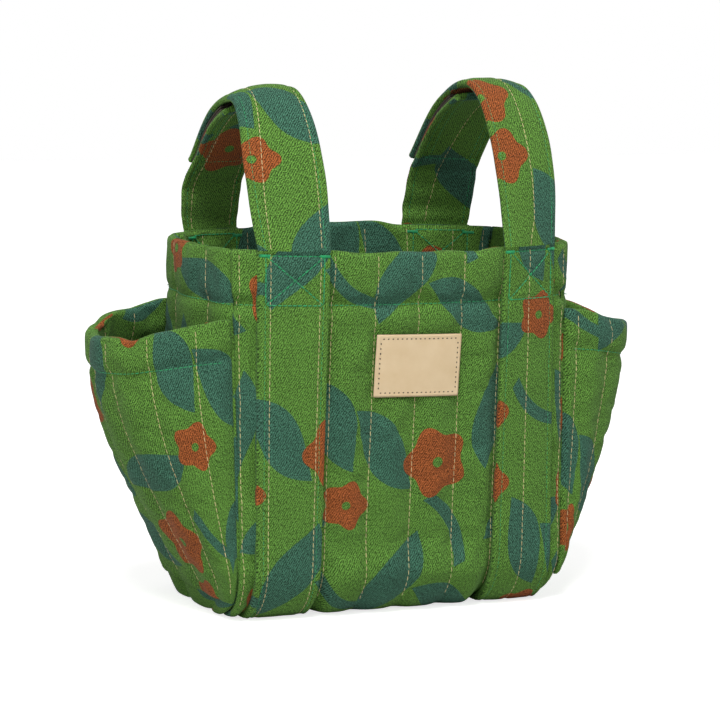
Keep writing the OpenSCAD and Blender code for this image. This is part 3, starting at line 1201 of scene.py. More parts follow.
@dataclass
class BasePad:
    """The base panel: a quilted pad that lies between the two turns."""

    shape: BodyShape = field(default_factory=BodyShape)
    pitch: float = 26.4

    def build(self, name: str) -> tuple[Object, Grid]:
        """Builds the pad.

        Args:
            name: Name of the piece.

        Returns:
            The piece, and which of its points are sewn down.
        """
        half_w = self.shape.base_half_w - max(self.shape.turn_w)
        half_d = self.shape.base_half_d - self.shape.turn_d
        lines = [-1.4 + self.pitch * k for k in range(-3, 4)]
        x = stations([-half_w, *lines, half_w], 3.0)
        y = stations([-half_d, half_d], 3.2)
        xx, yy = np.meshgrid(x, y, indexing="ij")
        crown = Quilting().channels(xx, (-half_w, *lines, half_w))
        edge = smooth((half_d - np.abs(yy)) / 4) * smooth((half_w - np.abs(xx)) / 4)
        low = 0.35 + 0.5 * (1 - crown)
        high = self.shape.cloth - 1.3 * (1 - crown) - 0.9 * (1 - edge)
        high += 0.3 * ripple(xx / 12, yy / 12, 44.0)
        outer = np.stack([xx, yy, high], -1)
        inner = np.stack([xx, yy, low], -1)
        piece = Shell(outer, inner, np.stack([xx, yy], -1) + 23.0).build(name)
        sewn = near(xx, lines) | (edge < 0.01)
        flat = np.ones(sewn.size, bool)
        return piece, np.concatenate([sewn.ravel(), flat])


@dataclass
class SidePocket:
    """A flared pocket on a side panel, with a deep hem at its mouth.

    Attributes:
        side: Left or right.
        shape: The body's outline.
        quilting: How deep the sewn lines are.
        lines: Places of the sewn lines along the mouth, from the middle.
        tuck: How much less than its flare the mouth stands off.
        swell: How soon the pocket swells above its lower end, 1 being at once.
        lap: How far the edges lap over the body's seams.
    """

    side: Side
    shape: BodyShape = field(default_factory=BodyShape)
    quilting: Quilting = field(default_factory=lambda: Quilting(1.8, 0.4, 0.5))
    lines: tuple[float, ...] = (-70.0, -43.0, -16.0, 11.0, 38.0, 65.0)
    top: float = 165.0
    dip: float = 11.0
    low: float = 10.0
    root: float = 4.9
    flare: float = 61.0
    cloth: float = 4.5
    power: float = 2.3
    hem: float = 21.0
    tuck: float = 0.0
    swell: float = 1.15
    lap: float = 1.6

    def __post_init__(self) -> None:
        """Works out how far along the mouth each turn lies."""
        turn = np.linspace(0.0, math.pi, 721)
        ring = self.point(turn, np.ones_like(turn), np.zeros_like(turn))
        run = np.concatenate([[0.0], np.cumsum(np.linalg.norm(np.diff(ring, axis=0), axis=1))])
        self._turns, self._runs = turn, run - run[len(run) // 2]

    def turn_at(self, place: Grid) -> Grid:
        """Turn round the pocket at a place along the mouth."""
        return np.interp(place, self._runs, self._turns)

    @property
    def half_length(self) -> float:
        """Half the length of the mouth."""
        return float(self._runs[-1])

    @property
    def hem_up(self) -> float:
        """Share of the height at which the hem is sewn."""
        return 1 - self.hem / (self.top - self.low)

    def point(self, turn: Grid, up: Grid, off: Grid) -> Grid:
        """Points of the pocket.

        Args:
            turn: From 0 at the front seam to pi at the back seam.
            up: From 0 at the lower end to 1 at the mouth.
            off: Offset outwards.

        Returns:
            The points, with x, y, z last.
        """
        shape = self.shape
        sine, cosine = np.maximum(np.sin(turn), 0.0), np.cos(turn)
        z = mix(self.low, self.top - self.dip * sine**1.5, up)
        e = np.arcsin(np.clip((shape.turn_h - z) / shape.turn_h, 0, 1))
        seam_w = shape.half_w(z) - shape.drawn_in(e, self.side.value) + 0.1
        seam_d = shape.half_d(z) - shape.turn_d * (1 - np.cos(e))
        k = 2 / self.power
        reach = mix(self.root, self.flare - self.tuck, np.sin(up * math.pi / 2) ** self.swell)
        x = seam_w + (reach + off) * sine**k
        y = -(seam_d + off) * np.sign(cosine) * np.abs(cosine) ** k
        return np.stack([self.side.value * x, y, z], -1)

    def relief(self, place: Grid, up: Grid) -> Grid:
        """Drop of the outer face.

        Args:
            place: Place along the mouth.
            up: From 0 at the lower end to 1 at the mouth.

        Returns:
            The drop in millimetres, positive inwards.
        """
        q = self.quilting
        crown = q.channels(place, (-self.half_length, *self.lines, self.half_length))
        down = (1 - up) * (self.top - self.low)
        below = smooth((down - self.hem) / 4)
        seed = 51.0 + 9 * self.side.value
        drop_by = q.groove * (1 - crown) * mix(0.4, 1.0, below)
        drop_by += 2.4 * bump_at(down, self.hem, 2.8) - 0.7 * (1 - below)
        edge = self.half_length - np.abs(place)
        drop_by += q.seam_dip * (1 - smooth(edge / 4))
        close = np.exp(-np.abs(place[..., None] - np.array(self.lines)).min(-1) / 4.5)
        drop_by += q.pucker * ripple(place / 7, down / 5.5, seed) * close
        return drop_by + 0.9 * ripple(place / 30, down / 38, seed + 2) - 0.3

    def mouth_rise(self, place: Grid, down: Grid) -> Grid:
        """How far the mouth is drawn up towards its two seams, and pinched between them.

        Args:
            place: Place along the mouth.
            down: Length down from the mouth.

        Returns:
            The rise in millimetres.
        """
        share = place / self.half_length
        front = 2.0 * smooth((-share - 0.6) / 0.4)
        if self.side is Side.LEFT:
            rest = 2.8 * smooth((share - 0.72) / 0.28) - 2.4 * bump_at(place, -33.0, 7.0)
        else:
            rest = 3.6 * smooth((share + 0.05) / 0.5)
        return (front + rest) * smooth(1 - down / 60)

    def build(self, name: str) -> tuple[Object, Grid]:
        """Builds the pocket.

        Args:
            name: Name of the piece.

        Returns:
            The piece, and which of its points are sewn down.
        """
        half = self.half_length
        place = stations([-half, *self.lines, half], 2.9)
        rise = self.top - self.low
        down = stations([0.0, 0.8, 1.9, 3.4, self.hem, rise], 3.0)
        dd, pp = np.meshgrid(down, place, indexing="ij")
        up, turn = 1 - dd / rise, self.turn_at(pp)
        sink = self.relief(pp, up)
        seed = 60.0 + 5 * self.side.value
        wave = ripple(pp / 24, dd * 0, seed) * smooth(1 - dd / 40)
        wave = 2.6 * wave * smooth((half - np.abs(pp)) / 18)
        thick = mix(self.cloth, self.cloth + 1.4, 1 - smooth((dd - self.hem + 2) / 4))
        outer = self.point(turn, up, -sink - rolled(dd, 2.5) + wave)
        inner = self.point(turn, up, -thick + 0.7 * sink + rolled(dd, 2.3) + wave)
        sway = 1.5 * ripple(pp / 34, dd * 0, seed + 2) * smooth(1 - dd / 60)
        sway *= smooth((half - np.abs(pp)) / 18)
        sway += self.mouth_rise(pp, dd)
        tucked = self.side.value * self.lap * (1 - smooth((half - np.abs(pp)) / 3))
        for face in (outer, inner):
            face[..., 2] += sway
            face[..., 0] -= tucked
        uv = np.stack([pp * self.side.value, -dd], -1) + np.array([71.0, 29.0]) * self.side.value
        piece = Shell(outer, inner, uv).build(name)
        sewn = near(pp, self.lines) & (dd >= self.hem - 0.1)
        sewn |= (np.abs(dd - self.hem) < 0.1) | (dd < 0.1) | (np.abs(pp) > half - 0.1)
        sewn |= dd > rise - 0.1
        return piece, np.tile(sewn.ravel(), 2)


# Straps, bands and tabs


@dataclass(frozen=True)
class Bezier:
    """A cubic curve in the plane of depth and height."""

    points: tuple[tuple[float, float], ...]

    def at(self, t: Grid) -> Grid:
        """Points of the curve."""
        a, b, c, d = (np.array(p) for p in self.points)
        t = np.asarray(t)[..., None]
        return (1 - t) ** 3 * a + 3 * (1 - t) ** 2 * t * b + 3 * (1 - t) * t**2 * c + t**3 * d

    def heading(self, t: Grid) -> Grid:
        """Unit direction of the curve."""
        a, b, c, d = (np.array(p) for p in self.points)
        t = np.asarray(t)[..., None]
        return unit((1 - t) ** 2 * (b - a) + 2 * (1 - t) * t * (c - b) + t**2 * (d - c))

    def outward(self, t: Grid) -> Grid:
        """Unit normal to the left of the curve."""
        h = self.heading(t)
        return np.stack([-h[..., 1], h[..., 0]], -1)


@dataclass
class Trace:
    """A strap's course: points of its outer face at its inner edge, and their normals."""

    points: Grid
    normals: Grid

    @property
    def run(self) -> Grid:
        """Length along the course at each point."""
        steps = np.linalg.norm(np.diff(self.points, axis=0), axis=1)
        return np.concatenate([[0.0], np.cumsum(steps)])

    def evenly(self, step: float) -> "Trace":
        """The same course with evenly spaced points."""
        run = self.run
        count = max(2, round(run[-1] / step))
        at = np.linspace(0, run[-1], count + 1)
        points = np.stack([np.interp(at, run, self.points[:, k]) for k in range(2)], -1)
        normals = np.stack([np.interp(at, run, self.normals[:, k]) for k in range(2)], -1)
        return Trace(points, unit(normals))

    def shifted(self, off: float) -> "Trace":
        """The course moved along its normals."""
        return Trace(self.points + off * self.normals, self.normals)

    def joined(self, other: "Trace") -> "Trace":
        """This course followed by another."""
        return Trace(
            np.concatenate([self.points, other.points[1:]]),
            np.concatenate([self.normals, other.normals[1:]]),
        )


@dataclass(frozen=True)
class Seam:
    """A quilting line that may wander across a strap as it runs.

    Attributes:
        start: Place across the width where the course starts.
        lean: Sideways step for each millimetre of run.
        shift: Sideways step made in the first stretch.
    """

    start: float
    lean: float = 0.0
    shift: float = 0.0

    def at(self, run: Grid | float) -> Grid:
        """Place across the width at a length along the course."""
        place = self.start + self.lean * run + self.shift * smooth(np.asarray(run) / 18)
        return np.clip(place, 2.4, 35.1)


@dataclass(frozen=True)
class Drape:
    """How the soft strap stands away from its ruled course, in millimetres.

    Attributes:
        crown: Rise at the top of the arch at the inner edge, the middle and the outer edge.
        reach: Half length of that rise, along the depth.
        forward: How far the inner and the outer edge stand forward half way up the front.
        spread: How far the outer edge stands outward half way up.
        shoulder: Rise of the inner edge on the back slope.
        centre: Depth of the arch's top.
    """

    crown: tuple[float, float, float] = (0.0, 0.0, 0.0)
    reach: float = 50.0
    forward: tuple[float, float] = (0.0, 0.0)
    spread: float = 0.0
    shoulder: float = 0.0
    centre: float = -8.0

    def half_way(self, z: Grid, arch: float) -> Grid:
        """Share from 0 at the rim to 1 half way up and 0 at the top."""
        return np.sin(np.clip(z / arch, 0, 1) * math.pi)

    def rise(self, e: Grid, y: Grid, z: Grid, arch: float) -> Grid:
        """Rise along the normal.

        Args:
            e: Share of the width, from the inner edge.
            y: Depth of the course's point.
            z: Its height above the rim.
            arch: Height of the arch.

        Returns:
            The rise in millimetres.
        """
        inner, middle, outer = self.crown
        across = inner * (1 - e) * (1 - 2 * e) + 4 * middle * e * (1 - e) + outer * e * (2 * e - 1)
        top = np.cos(np.clip((y - self.centre) / self.reach, -1, 1) * math.pi / 2) ** 2
        high = smooth(z / 30)
        slope = self.shoulder * (1 - e) * bump_at(y, 32.0, 20.0)
        forward = mix(*self.forward, e) * self.half_way(z, arch) * (y < self.centre)
        return (across * top + slope) * high + forward


@dataclass(frozen=True)
class StrapShape:
    """Sizes and courses shared by both straps, in millimetres."""

    inner: float = 53.0
    width: float = 37.5
    thick: float = 4.0
    band: float = 3.5
    lay: float = 0.1
    arch: float = 87.5
    tape: float = 1.2
    tape_gap: float = 0.4
    tab: float = 3.8
    tape_margin: float = 0.04
    stitch_in: float = 3.5
    body: BodyShape = field(default_factory=BodyShape)

    @property
    def outer(self) -> float:
        """Distance of the outer edge from the middle of the bag."""
        return self.inner + self.width

    def root(self, x: float) -> float:
        """Depth of a band's outer face at the rim."""
        return float(self.body.depth(np.array(x), np.array(self.body.height))) + self.lay + self.band

    @property
    def edge_share(self) -> float:
        """Depth of the outer edge as a share of the inner edge's."""
        return self.root(self.outer) / self.root(self.inner)

    def _trace(self, curve: Bezier, low: float, high: float, count: int) -> Trace:
        """A stretch of a curve as a course of points."""
        t = np.linspace(low, high, count)
        return Trace(curve.at(t), curve.outward(t))

    @property
    def rise(self) -> Bezier:
        """The course up the front."""
        return Bezier(((-self.root(self.inner), 1.0), (-60, 32), (-42, self.arch), (-10, self.arch)))

    @property
    def fall(self) -> Bezier:
        """The course down the back."""
        return Bezier(((-10, self.arch), (14, self.arch), (40, 62), (60.6, 42)))

    def whole(self) -> Trace:
        """The course from the front rim to the strap's end."""
        start = np.array([[-self.root(self.inner), 0.0], [-self.root(self.inner), 0.5]])
        foot = Trace(start, np.array([[-1.0, 0.0], [-1.0, 0.0]]))
        rise = self._trace(self.rise, 0.0, 1.0, 60)
        fall = self._trace(self.fall, 0.0, 1.0, 60)
        return foot.joined(rise).joined(fall).evenly(2.0)

    @property
    def tab_depth(self) -> float:
        """Depth of the tab's outer face under the strap's."""
        return self.thick + 2 * self.lay + 2 * self.tape + self.tape_gap

    def tab_course(self) -> Trace:
        """The tab's course from its free end down to the back rim."""
        under = self._trace(self.fall, 0.18, 0.94, 32).shifted(-self.tab_depth)
        bend = self.fall.at(1.0) - self.tab_depth * self.fall.outward(1.0)
        root = self.root(self.inner)
        lean = bend + 8 * self.fall.heading(1.0)
        down = Bezier((tuple(bend), tuple(lean), (root - 1, 16), (root, 0.4)))
        foot = Trace(np.array([[root, 0.4], [root, 0.0]]), np.array([[1.0, 0.0], [1.0, 0.0]]))
        return under.joined(self._trace(down, 0.0, 1.0, 30)).joined(foot).evenly(2.0)


@dataclass
class Ribbon:
    """A padded strap laid along a course, with its edges folded in and topstitched.

    Attributes:
        side: Left or right strap.
        course: Where it runs.
        shape: Sizes of the straps.
        thick: Thickness at the middle.
        seams: Places of quilting lines across the width, from the inner edge.
        seed: Number that tells this strap's creases from another's.
        drape: How the strap stands away from its course.
        margin: Share of the width left bare at each edge.
        tape_end: Run at which the tape on the other face ends in a cross seam, or 0.
        plain: Whether it is a thin tape with no fold or quilting.
    """

    side: Side
    course: Trace
    shape: StrapShape
    thick: float
    seams: tuple[Seam, ...] = ()
    seed: float = 0.0
    drape: Drape = field(default_factory=Drape)
    margin: float = 0.0
    tape_end: float = 0.0
    plain: bool = False

    def across(self) -> Grid:
        """Places across the width."""
        w, s = self.shape.width, self.shape.stitch_in
        marks = {0.0, 0.35, 1.0, 2.2, s, s + 1.3, w - s - 1.3, w - s, w - 2.2, w - 1.0, w - 0.35, w}
        return stations(sorted(marks), 1.25)

    def profile(self, w: Grid, run: Grid) -> Grid:
        """Drop of the face.

        Args:
            w: Place across, from the inner edge.
            run: Length along the course.

        Returns:
            The drop in millimetres, positive inwards.
        """
        edge = np.minimum(w, self.shape.width - w)
        half = self.thick / 2
        fold = rolled(edge, half)
        if self.plain:
            return fold * 0.7
        sunk = 0.62 * bump_at(edge, self.shape.stitch_in, 0.85)
        for seam in self.seams:
            sunk += 0.55 * bump_at(w, seam.at(run), 1.2)
        return fold * 0.96 + sunk - 0.15 * smooth((edge - 5) / 8)

    def surface(self, w: Grid, row: Grid, off: Grid) -> Grid:
        """Points at places across the width on rows of the course.

        Args:
            w: Places across, from the inner edge.
            row: Indices of the course's points.
            off: Offset outwards.

        Returns:
            The points, with x, y, z last.
        """
        shape, body = self.shape, self.shape.body
        point, normal = self.course.points[row], self.course.normals[row]
        e = w / shape.width
        height = point[..., 1]
        off = off + self.drape.rise(e, point[..., 0], height, shape.arch)
        x = mix(shape.inner, shape.outer, e)
        full = np.where(point[..., 0] < self.drape.centre, shape.arch, shape.arch / 2)
        x += self.drape.spread * e * self.drape.half_way(height, full)
        share = mix(1.0, shape.edge_share, e)
        y = (point[..., 0] + off * normal[..., 0]) * share
        z = body.height + point[..., 1] + off * normal[..., 1]
        ruled = mix(shape.root(shape.inner), shape.root(shape.outer), e)
        curved = body.depth(x, np.full_like(x, body.height)) + shape.lay + shape.band
        near_rim = 1 - smooth(point[..., 1] / 22)
        y += np.sign(point[..., 0]) * (curved - ruled) * near_rim
        return np.stack([self.side.value * x, y, z], -1)

    def build(self, name: str, low: int = 0, high: int | None = None) -> Object:
        """Builds the strap between two rows of its course.

        Args:
            name: Name of the piece.
            low: First row.
            high: Last row, or None for the course's end.

        Returns:
            The piece.
        """
        w = self.across()
        last = len(self.course.points) - 1 if high is None else high
        row = np.arange(low, last + 1)
        rr, ww = np.meshgrid(row, w, indexing="ij")
        run = self.course.run[rr]
        drop_by = self.profile(ww, run)
        inside = smooth(np.minimum(ww, self.shape.width - ww) / 4)
        soft = 0.0 if self.plain else 0.35
        drop_by += soft * inside * ripple(ww / 9, run / 8, self.seed)
        drop_by += soft * ripple(ww / 30, run / 30, self.seed + 4)
        place = ww
        if self.margin:
            place = mix(self.margin, 1 - self.margin, ww / self.shape.width) * self.shape.width
        sway = (0.0 if self.plain else 0.45) * ripple(run / 26, ww * 0, self.seed + 8)
        back = self.profile(ww, run) + 0.6 * soft * inside * ripple(ww / 9, run / 8, self.seed + 2)
        wave = np.zeros_like(ww)
        if self.tape_end:
            back += 0.9 * bump_at(run, self.tape_end, 1.5) * inside
            foot = smooth((run - self.tape_end - 4) / 14) * smooth((self.course.run[-1] - run) / 6)
            wave = 2.4 * foot * ripple(run / 8.5, ww / 70, self.seed + 6)
        outer = self.surface(place + sway, rr, wave - drop_by)
        inner = self.surface(place + sway, rr, wave - self.thick + back)
        uv = np.stack([ww * self.side.value, run], -1) + 13.0 * self.seed
        return Shell(outer, inner, uv, (25.0, 11.0)).build(name)

    def line(self, w: float | Seam, low: int, high: int, under: bool = False) -> tuple[Grid, Grid]:
        """A path along the strap for stitches, and the direction off its face."""
        row = np.arange(low, high + 1)
        place = w.at(self.course.run[row]) if isinstance(w, Seam) else np.full(row.shape, w)
        return self.laid(place, row, under)

    def laid(self, w: Grid, row: Grid, under: bool) -> tuple[Grid, Grid]:
        """A path over places and rows of the strap, and the direction off its face."""
        off = -self.thick if under else 0.0
        path = self.surface(w, row, np.full(row.shape, off))
        normal = self.course.normals[row] * (-1.0 if under else 1.0)
        return path, np.stack([normal[:, 0] * 0, normal[:, 0], normal[:, 1]], -1)


@dataclass
class Band:
    """The part of a strap that is sewn on the wall, from the rim to under the base."""

    side: Side
    face: Face
    shape: StrapShape
    seams: tuple[Seam, ...] = ()
    seed: float = 0.0
    fold: float = 2.7

    def ribbon(self) -> Ribbon:
        """A ribbon with this band's cross-section, for its places and profile."""
        course = Trace(np.zeros((2, 2)), np.zeros((2, 2)))
        return Ribbon(self.side, course, self.shape, self.shape.band + 0.5, self.seams)

    def surface(self, w: Grid, t: Grid, off: Grid) -> Grid:
        """Points of the band's outer face at an offset."""
        u = self.side.value * (self.shape.inner + w)
        lift = self.shape.lay + self.shape.band
        return self.shape.body.wall(u, t, off + lift, self.face)

    def build(self, name: str) -> Object:
        """Builds the band.

        Args:
            name: Name of the piece.

        Returns:
            The piece.
        """
        ribbon, body = self.ribbon(), self.shape.body
        w = ribbon.across()
        marks = [0.0, self.fold - 1.2, self.fold, self.fold + 1.4]
        low = stations([body.hem, body.straight, body.wall_length - 1.0], 2.4)
        t = np.concatenate([stations([*marks, body.hem], 1.5)[:-1], low])
        tt, ww = np.meshgrid(t, w, indexing="ij")
        drop_by = ribbon.profile(ww, tt * 0) * mix(1.0, 0.9, smooth(tt / 20))
        drop_by += 1.3 * bump_at(tt, self.fold, 1.2)
        inset, span = self.shape.stitch_in, self.shape.width - 2 * self.shape.stitch_in
        down = (tt - self.fold) / (body.hem - self.fold)
        for across in ((ww - inset) / span, 1 - (ww - inset) / span):
            inside = smooth(6 * down * (1 - down)) * (np.abs(down - 0.5) < 0.5)
            drop_by += 0.75 * bump_at((across - down) * span * 0.65, 0.0, 1.3) * inside
        drop_by += 0.3 * ripple(ww / 10, tt / 9, self.seed) * smooth(tt / 8)
        drop_by += 0.45 * ripple(ww / 34, tt / 40, self.seed + 2) * smooth(tt / 12)
        drop_by += 0.5 * bump_at(tt, body.hem, 1.8)
        sway = 0.5 * ripple(tt / 36, ww * 0, self.seed + 5) * smooth(tt / 15)
        drop_by = np.where(np.minimum(ww, self.shape.width - ww) > 2, np.minimum(drop_by, 2.1), drop_by)
        outer = self.surface(ww + sway, tt, -drop_by)
        outer[..., 2] = np.maximum(outer[..., 2], 0.1)
        inner = self.surface(ww + sway, tt, -np.full_like(ww, self.shape.band + 1.6) + 0.5 * drop_by)
        uv = np.stack([ww * self.side.value, -tt], -1) + 13.0 * self.seed
        return Shell(outer, inner, uv).build(name)


# Assemblies


@dataclass
class Body:
    """The open body: two walls, two sides, a base and two pockets, all padded."""

    wardrobe: Wardrobe
    maker: StitchMaker
    shape: BodyShape = field(default_factory=BodyShape)
    grounds: dict[str, BVHTree] = field(default_factory=dict)

    def finish(self, piece: Object, sewn: Grid, node: str, force: Inflation, fill: float) -> None:
        """Fills, rounds and dresses a padded piece.

        Args:
            piece: The piece.
            sewn: Which of its points are sewn down.
            node: The node that it stands for, which it hides.
            force: How it is filled.
            fill: How tight it is, from 0 to 1. It is not used.
        """
        force.apply(piece, sewn)
        subdivide(piece)
        self.wardrobe.dress(piece, self.wardrobe.twill, "quilted_cotton")
        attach(piece, "bag")
        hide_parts(node)
        self.grounds[node] = surface_of(piece)
        LOG.info("%s: %d faces", piece.name, len(piece.data.polygons))

    def build(self) -> None:
        """Builds the padded pieces."""
        for face in Face:
            wall = QuiltedWall(face, self.shape, seed=1.0 if face is Face.FRONT else 2.0)
            piece, sewn = wall.build(f"quilted_{face.word}")
            self.finish(piece, sewn, f"{face.word}_panel", Inflation(), 0.3)
            self.sew_wall(wall)
        for side in Side:
            panel = QuiltedSide(side, self.shape)
            piece, sewn = panel.build(f"quilted_{side.word}_side")
            self.finish(piece, sewn, f"{side.word}_side_panel", Inflation(cap=1.2), 0.3)
            self.sew_side(panel)
            pocket = SidePocket(side, self.shape)
            if side is Side.RIGHT:
                lines = (-80, -54, -27, 0, 27, 54, 80)
                pocket = SidePocket(side, self.shape, lines=lines, low=14.0, tuck=3.6, swell=0.98)
            piece, sewn = pocket.build(f"quilted_{side.word}_pocket")
            self.finish(piece, sewn, f"{side.word}_pocket", Inflation(cap=1.2), 0.2)
            self.sew_pocket(pocket)
        piece, sewn = BasePad(self.shape).build("quilted_base")
        self.finish(piece, sewn, "base_panel", Inflation(pressure=3.0, cap=0.5), 0.3)

    def sew(self, word: str, node: str, thick: float, quilt: list[Line], hem: Line) -> None:
        """Sews the quilting and the hem of a cloth on both of its faces.

        Args:
            word: End of the threads' names.
            node: The node that the cloth stands for.
            thick: From the outer face to near the inner one.
            quilt: The quilting lines.
            hem: The hem's line.
        """
        rows = (
            ("quilting_thread", QUILT_STITCH, quilt, self.wardrobe.cream),
            ("hem_thread", HEM_STITCH, [hem], self.wardrobe.green),
        )
        for name, kind, lines, colour in rows:
            runs = []
            for line in lines:
                for off, sign in ((0.0, 1.0), (-thick, -1.0)):
                    path, outward = line(off)
                    runs.append(StitchRun(kind, path, sign * outward))
            piece = self.maker.sew(f"{name}_{word}", runs, self.grounds[node])
            self.wardrobe.dress(piece, colour, "green_thread")
            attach(piece, "bag")

    def sew_wall(self, wall: QuiltedWall) -> None:
        """Quilting and hem stitches on both faces of a wall."""
        shape, sign = self.shape, float(wall.face.value)

        def channel(u: float, off: float) -> tuple[Grid, Grid]:
            """The line at a place across, which stops above the turn on the inside."""
            t = np.arange(1.5, shape.straight + (26.0 if off == 0 else 0.0), 2.0)
            _, e = shape.row(t)
            outward = np.stack([e * 0, sign * np.cos(e), -np.sin(e)], -1)
            return shape.wall(t * 0 + u, t, t * 0 + off, wall.face), outward

        def hem(off: float) -> tuple[Grid, Grid]:
            """The line along the hem."""
            u = np.arange(-shape.rim_half_w + 2, shape.rim_half_w - 1.9, 2.0)
            path = shape.wall(u, u * 0 + shape.hem, u * 0 + off, wall.face)
            return path, np.tile([0.0, sign, 0.0], (len(u), 1))

        quilt = [partial(channel, u) for u in (*wall.lines, *wall.outer_lines)]
        self.sew(wall.face.word, f"{wall.face.word}_panel", shape.hem_cloth, quilt, hem)

    def sew_side(self, panel: QuiltedSide) -> None:
        """Quilting and hem stitches on a side panel."""
        shape, side = self.shape, panel.side

        def line(k: Grid | float, t: Grid | float, off: float) -> tuple[Grid, Grid]:
            """A line over places across and lengths down."""
            k, t = np.broadcast_arrays(k, t)
            path = shape.side_wall(k, t, k * 0 + off, side)
            return path, np.tile([float(side.value), 0.0, 0.0], (len(t), 1))

        down = np.arange(1.5, shape.straight, 2.0)
        quilt = [partial(line, k, down) for k in panel.lines]
        hem = partial(line, np.linspace(-0.97, 0.97, 50), shape.hem)
        self.sew(f"{side.word}_side", f"{side.word}_side_panel", shape.cloth, quilt, hem)

    def sew_pocket(self, pocket: SidePocket) -> None:
        """Quilting and hem stitches on a pocket."""

        def line(place: Grid | float, up: Grid | float, off: float) -> tuple[Grid, Grid]:
            """A line over places along the mouth and shares of the height."""
            turn, up = np.broadcast_arrays(pocket.turn_at(place), up)
            return pocket.point(turn, up, up * 0 + off), self.pocket_out(pocket, turn, up)

        quilt = [partial(line, place, np.arange(0.99, 0.03, -0.014)) for place in pocket.lines]
        along = np.arange(-pocket.half_length + 4, pocket.half_length - 3.9, 2.0)
        hem, word = partial(line, along, pocket.hem_up), f"{pocket.side.word}_pocket"
        self.sew(word, word, pocket.cloth, quilt, hem)

    def pocket_out(self, pocket: SidePocket, turn: Grid, up: Grid) -> Grid:
        """Outward normals of the pocket's face."""
        step = 0.01
        none = np.zeros_like(turn)
        low, high = np.clip(turn - step, 0, math.pi), np.clip(turn + step, 0, math.pi)
        along = pocket.point(high, up, none) - pocket.point(low, up, none)
        rise = pocket.point(turn, np.minimum(up + step, 1), none)
        rise -= pocket.point(turn, np.minimum(up + step, 1) - step, none)
        normal = unit(np.cross(along, rise))
        middle = np.stack([pocket.side.value * np.sin(turn), -np.cos(turn), none], -1)
        return normal * np.sign((normal * middle).sum(-1, keepdims=True))


